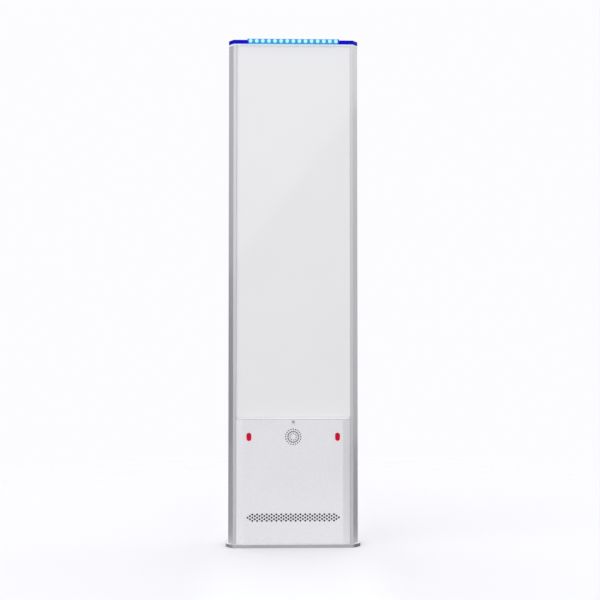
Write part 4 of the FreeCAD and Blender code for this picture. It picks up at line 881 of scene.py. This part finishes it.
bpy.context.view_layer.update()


# ------------------------------------------------------------ floor
def floor_material():
    made = bpy.data.materials.new("mat_floor")
    tree = Tree(made)
    output = tree.new("ShaderNodeOutputMaterial")
    shader = tree.new("ShaderNodeBsdfPrincipled")
    shader.inputs["Roughness"].default_value = 0.6
    shader.inputs["Specular IOR Level"].default_value = 0.2
    clear = tree.new("ShaderNodeBsdfTransparent")
    x, y, z = tree.xyz()
    width, depth = tree.size(x), tree.size(y)
    # the camera and bounced light see different greys
    camera_ray = tree.new("ShaderNodeLightPath").outputs["Is Camera Ray"]
    bounce = tree.mix(tree.remap(tree.size(x), span=(0.20, 0.42), to=(1.0, 0.25)),
                      low=(0.0, 0.0, 0.0, 1), high=(0.56, 0.56, 0.565, 1))
    # painted light: to the camera the floor is paler near the base and darker out to the
    # sides
    seen = tree.mix(tree.remap(tree.size(x), span=(0.16, 0.32)),
                    low=(0.765, 0.765, 0.777, 1), high=(0.715, 0.715, 0.730, 1))
    tree.put(shader.inputs["Base Color"], tree.mix(camera_ray, low=bounce, high=seen))
    # to the camera the floor melts into the backdrop, and is clear from below
    distance = tree.calc("SQRT", tree.plus(tree.times(x, x), tree.times(y, y)))
    fade = tree.remap(distance, span=(0.9, 2.6), to=(1.0, 0.0))
    backfacing = tree.new("ShaderNodeNewGeometry").outputs["Backfacing"]
    fade = tree.times(fade, tree.minus(1.0, backfacing))
    # other rays pass inside the base's outline, so light reaches its underside
    corner_slope = 1.048
    corner = tree.plus(tree.times(width, corner_slope), depth)
    inside = tree.times(tree.remap(width, span=(0.2090, 0.2095), to=(1.0, 0.0)),
                        tree.remap(depth, span=(0.0540, 0.0545), to=(1.0, 0.0)),
                        tree.remap(corner, span=(0.2525, 0.2530), to=(1.0, 0.0)))
    solid = tree.plus(tree.times(camera_ray, fade),
                      tree.times(tree.minus(1.0, camera_ray), tree.minus(1.0, inside)))
    tree.put(output.inputs[0],
             tree.mix_shaders(solid, low=clear.outputs[0], high=shader.outputs[0]))
    return made


bm = bmesh.new()
bmesh.ops.create_circle(bm, cap_ends=True, radius=3.0, segments=64)
mesh = bpy.data.meshes.new("floor")
bm.to_mesh(mesh)
bm.free()
floor = bpy.data.objects.new("floor", mesh)
floor.location.z = -0.0002
scene.collection.objects.link(floor)
mesh.materials.append(floor_material())


# ------------------------------------------------------------ surround
def build_world():
    """A soft studio whose brightness depends on direction."""
    world = bpy.data.worlds.new("studio")
    scene.world = world
    tree = Tree(world)
    output = tree.new("ShaderNodeOutputWorld")
    x, y, z = tree.xyz("Generated")
    # brightness: an even base, then what each region adds or takes away
    base, top, left, right, back, card = 0.78, 0.85, 0.56, 0.52, 0.18, 0.58
    leftish = tree.times(tree.remap(x, span=(-0.2, -0.8)), tree.remap(y, span=(0.15, -0.3)))
    rightish = tree.times(tree.remap(x, span=(0.25, 0.65)), tree.remap(y, span=(0.15, -0.2)))
    light = tree.plus(base, tree.times(tree.remap(z, span=(0.25, 0.85)), top))
    light = tree.plus(light, tree.times(leftish, left))
    light = tree.minus(light, tree.times(rightish, right))
    light = tree.plus(light, tree.times(tree.remap(y, span=(0.55, 0.85)), back))
    # large card behind the camera; its slanting lower edge lies in this plane
    edge_x, edge_y, edge_z = -0.79172, 0.07202, 0.60662
    across = tree.plus(tree.plus(tree.times(x, edge_x), tree.times(y, edge_y)),
                       tree.times(z, edge_z))
    mask = tree.times(tree.remap(across, span=(-0.0012, 0.0012)),
                      tree.remap(y, span=(-0.80, -0.90)))
    light = tree.plus(light, tree.times(mask, card))
    # strips to either side, seen in the cut corners, split at a sloping height
    split_z, split_slope = 0.1375, 0.0840
    height = tree.minus(z, tree.plus(split_z, tree.times(x, split_slope)))
    split = tree.remap(height, span=(-0.004, 0.004))
    for span, low, high in (((-0.70, -0.82), 0.0, 0.46), ((0.70, 0.82), 0.72, 1.38)):
        mask = tree.times(tree.remap(x, span=span), tree.remap(y, span=(-0.25, -0.05)))
        strip = tree.plus(low, tree.times(split, high - low))
        light = tree.plus(tree.times(light, tree.minus(1.0, mask)), tree.times(mask, strip))
    # the camera sees a plain backdrop instead
    shaders = []
    for color, strength in (((1.0, 1.0, 1.015, 1), light), (srgb(252, 252, 254), 1.0)):
        background = tree.new("ShaderNodeBackground")
        background.inputs["Color"].default_value = color
        tree.put(background.inputs["Strength"], strength)
        shaders.append(background.outputs[0])
    camera_ray = tree.new("ShaderNodeLightPath").outputs["Is Camera Ray"]
    tree.put(output.inputs[0], tree.mix_shaders(camera_ray, *shaders))


build_world()

# ------------------------------------------------------------ camera
CAMERA_PLACE = (-0.05456, -3.19193, 0.68617)
YAW, PITCH, ROLL = 0.0241, 0.02753, 0.00006  # radians

lens = bpy.data.cameras.new("camera")
lens.sensor_width = 36.0
lens.lens = 60.0
lens.clip_start = 0.05
lens.clip_end = 60
camera = bpy.data.objects.new("camera", lens)
scene.collection.objects.link(camera)
forward = Vector((math.sin(YAW) * math.cos(PITCH), math.cos(YAW) * math.cos(PITCH),
                  math.sin(PITCH)))
level = Vector((math.cos(YAW), -math.sin(YAW), 0))
upward = level.cross(forward)
right = level * math.cos(ROLL) + upward * math.sin(ROLL)
above = upward * math.cos(ROLL) - level * math.sin(ROLL)
rows = list(zip(right, above, -forward, CAMERA_PLACE))
camera.matrix_world = Matrix(rows + [(0, 0, 0, 1)])
scene.camera = camera
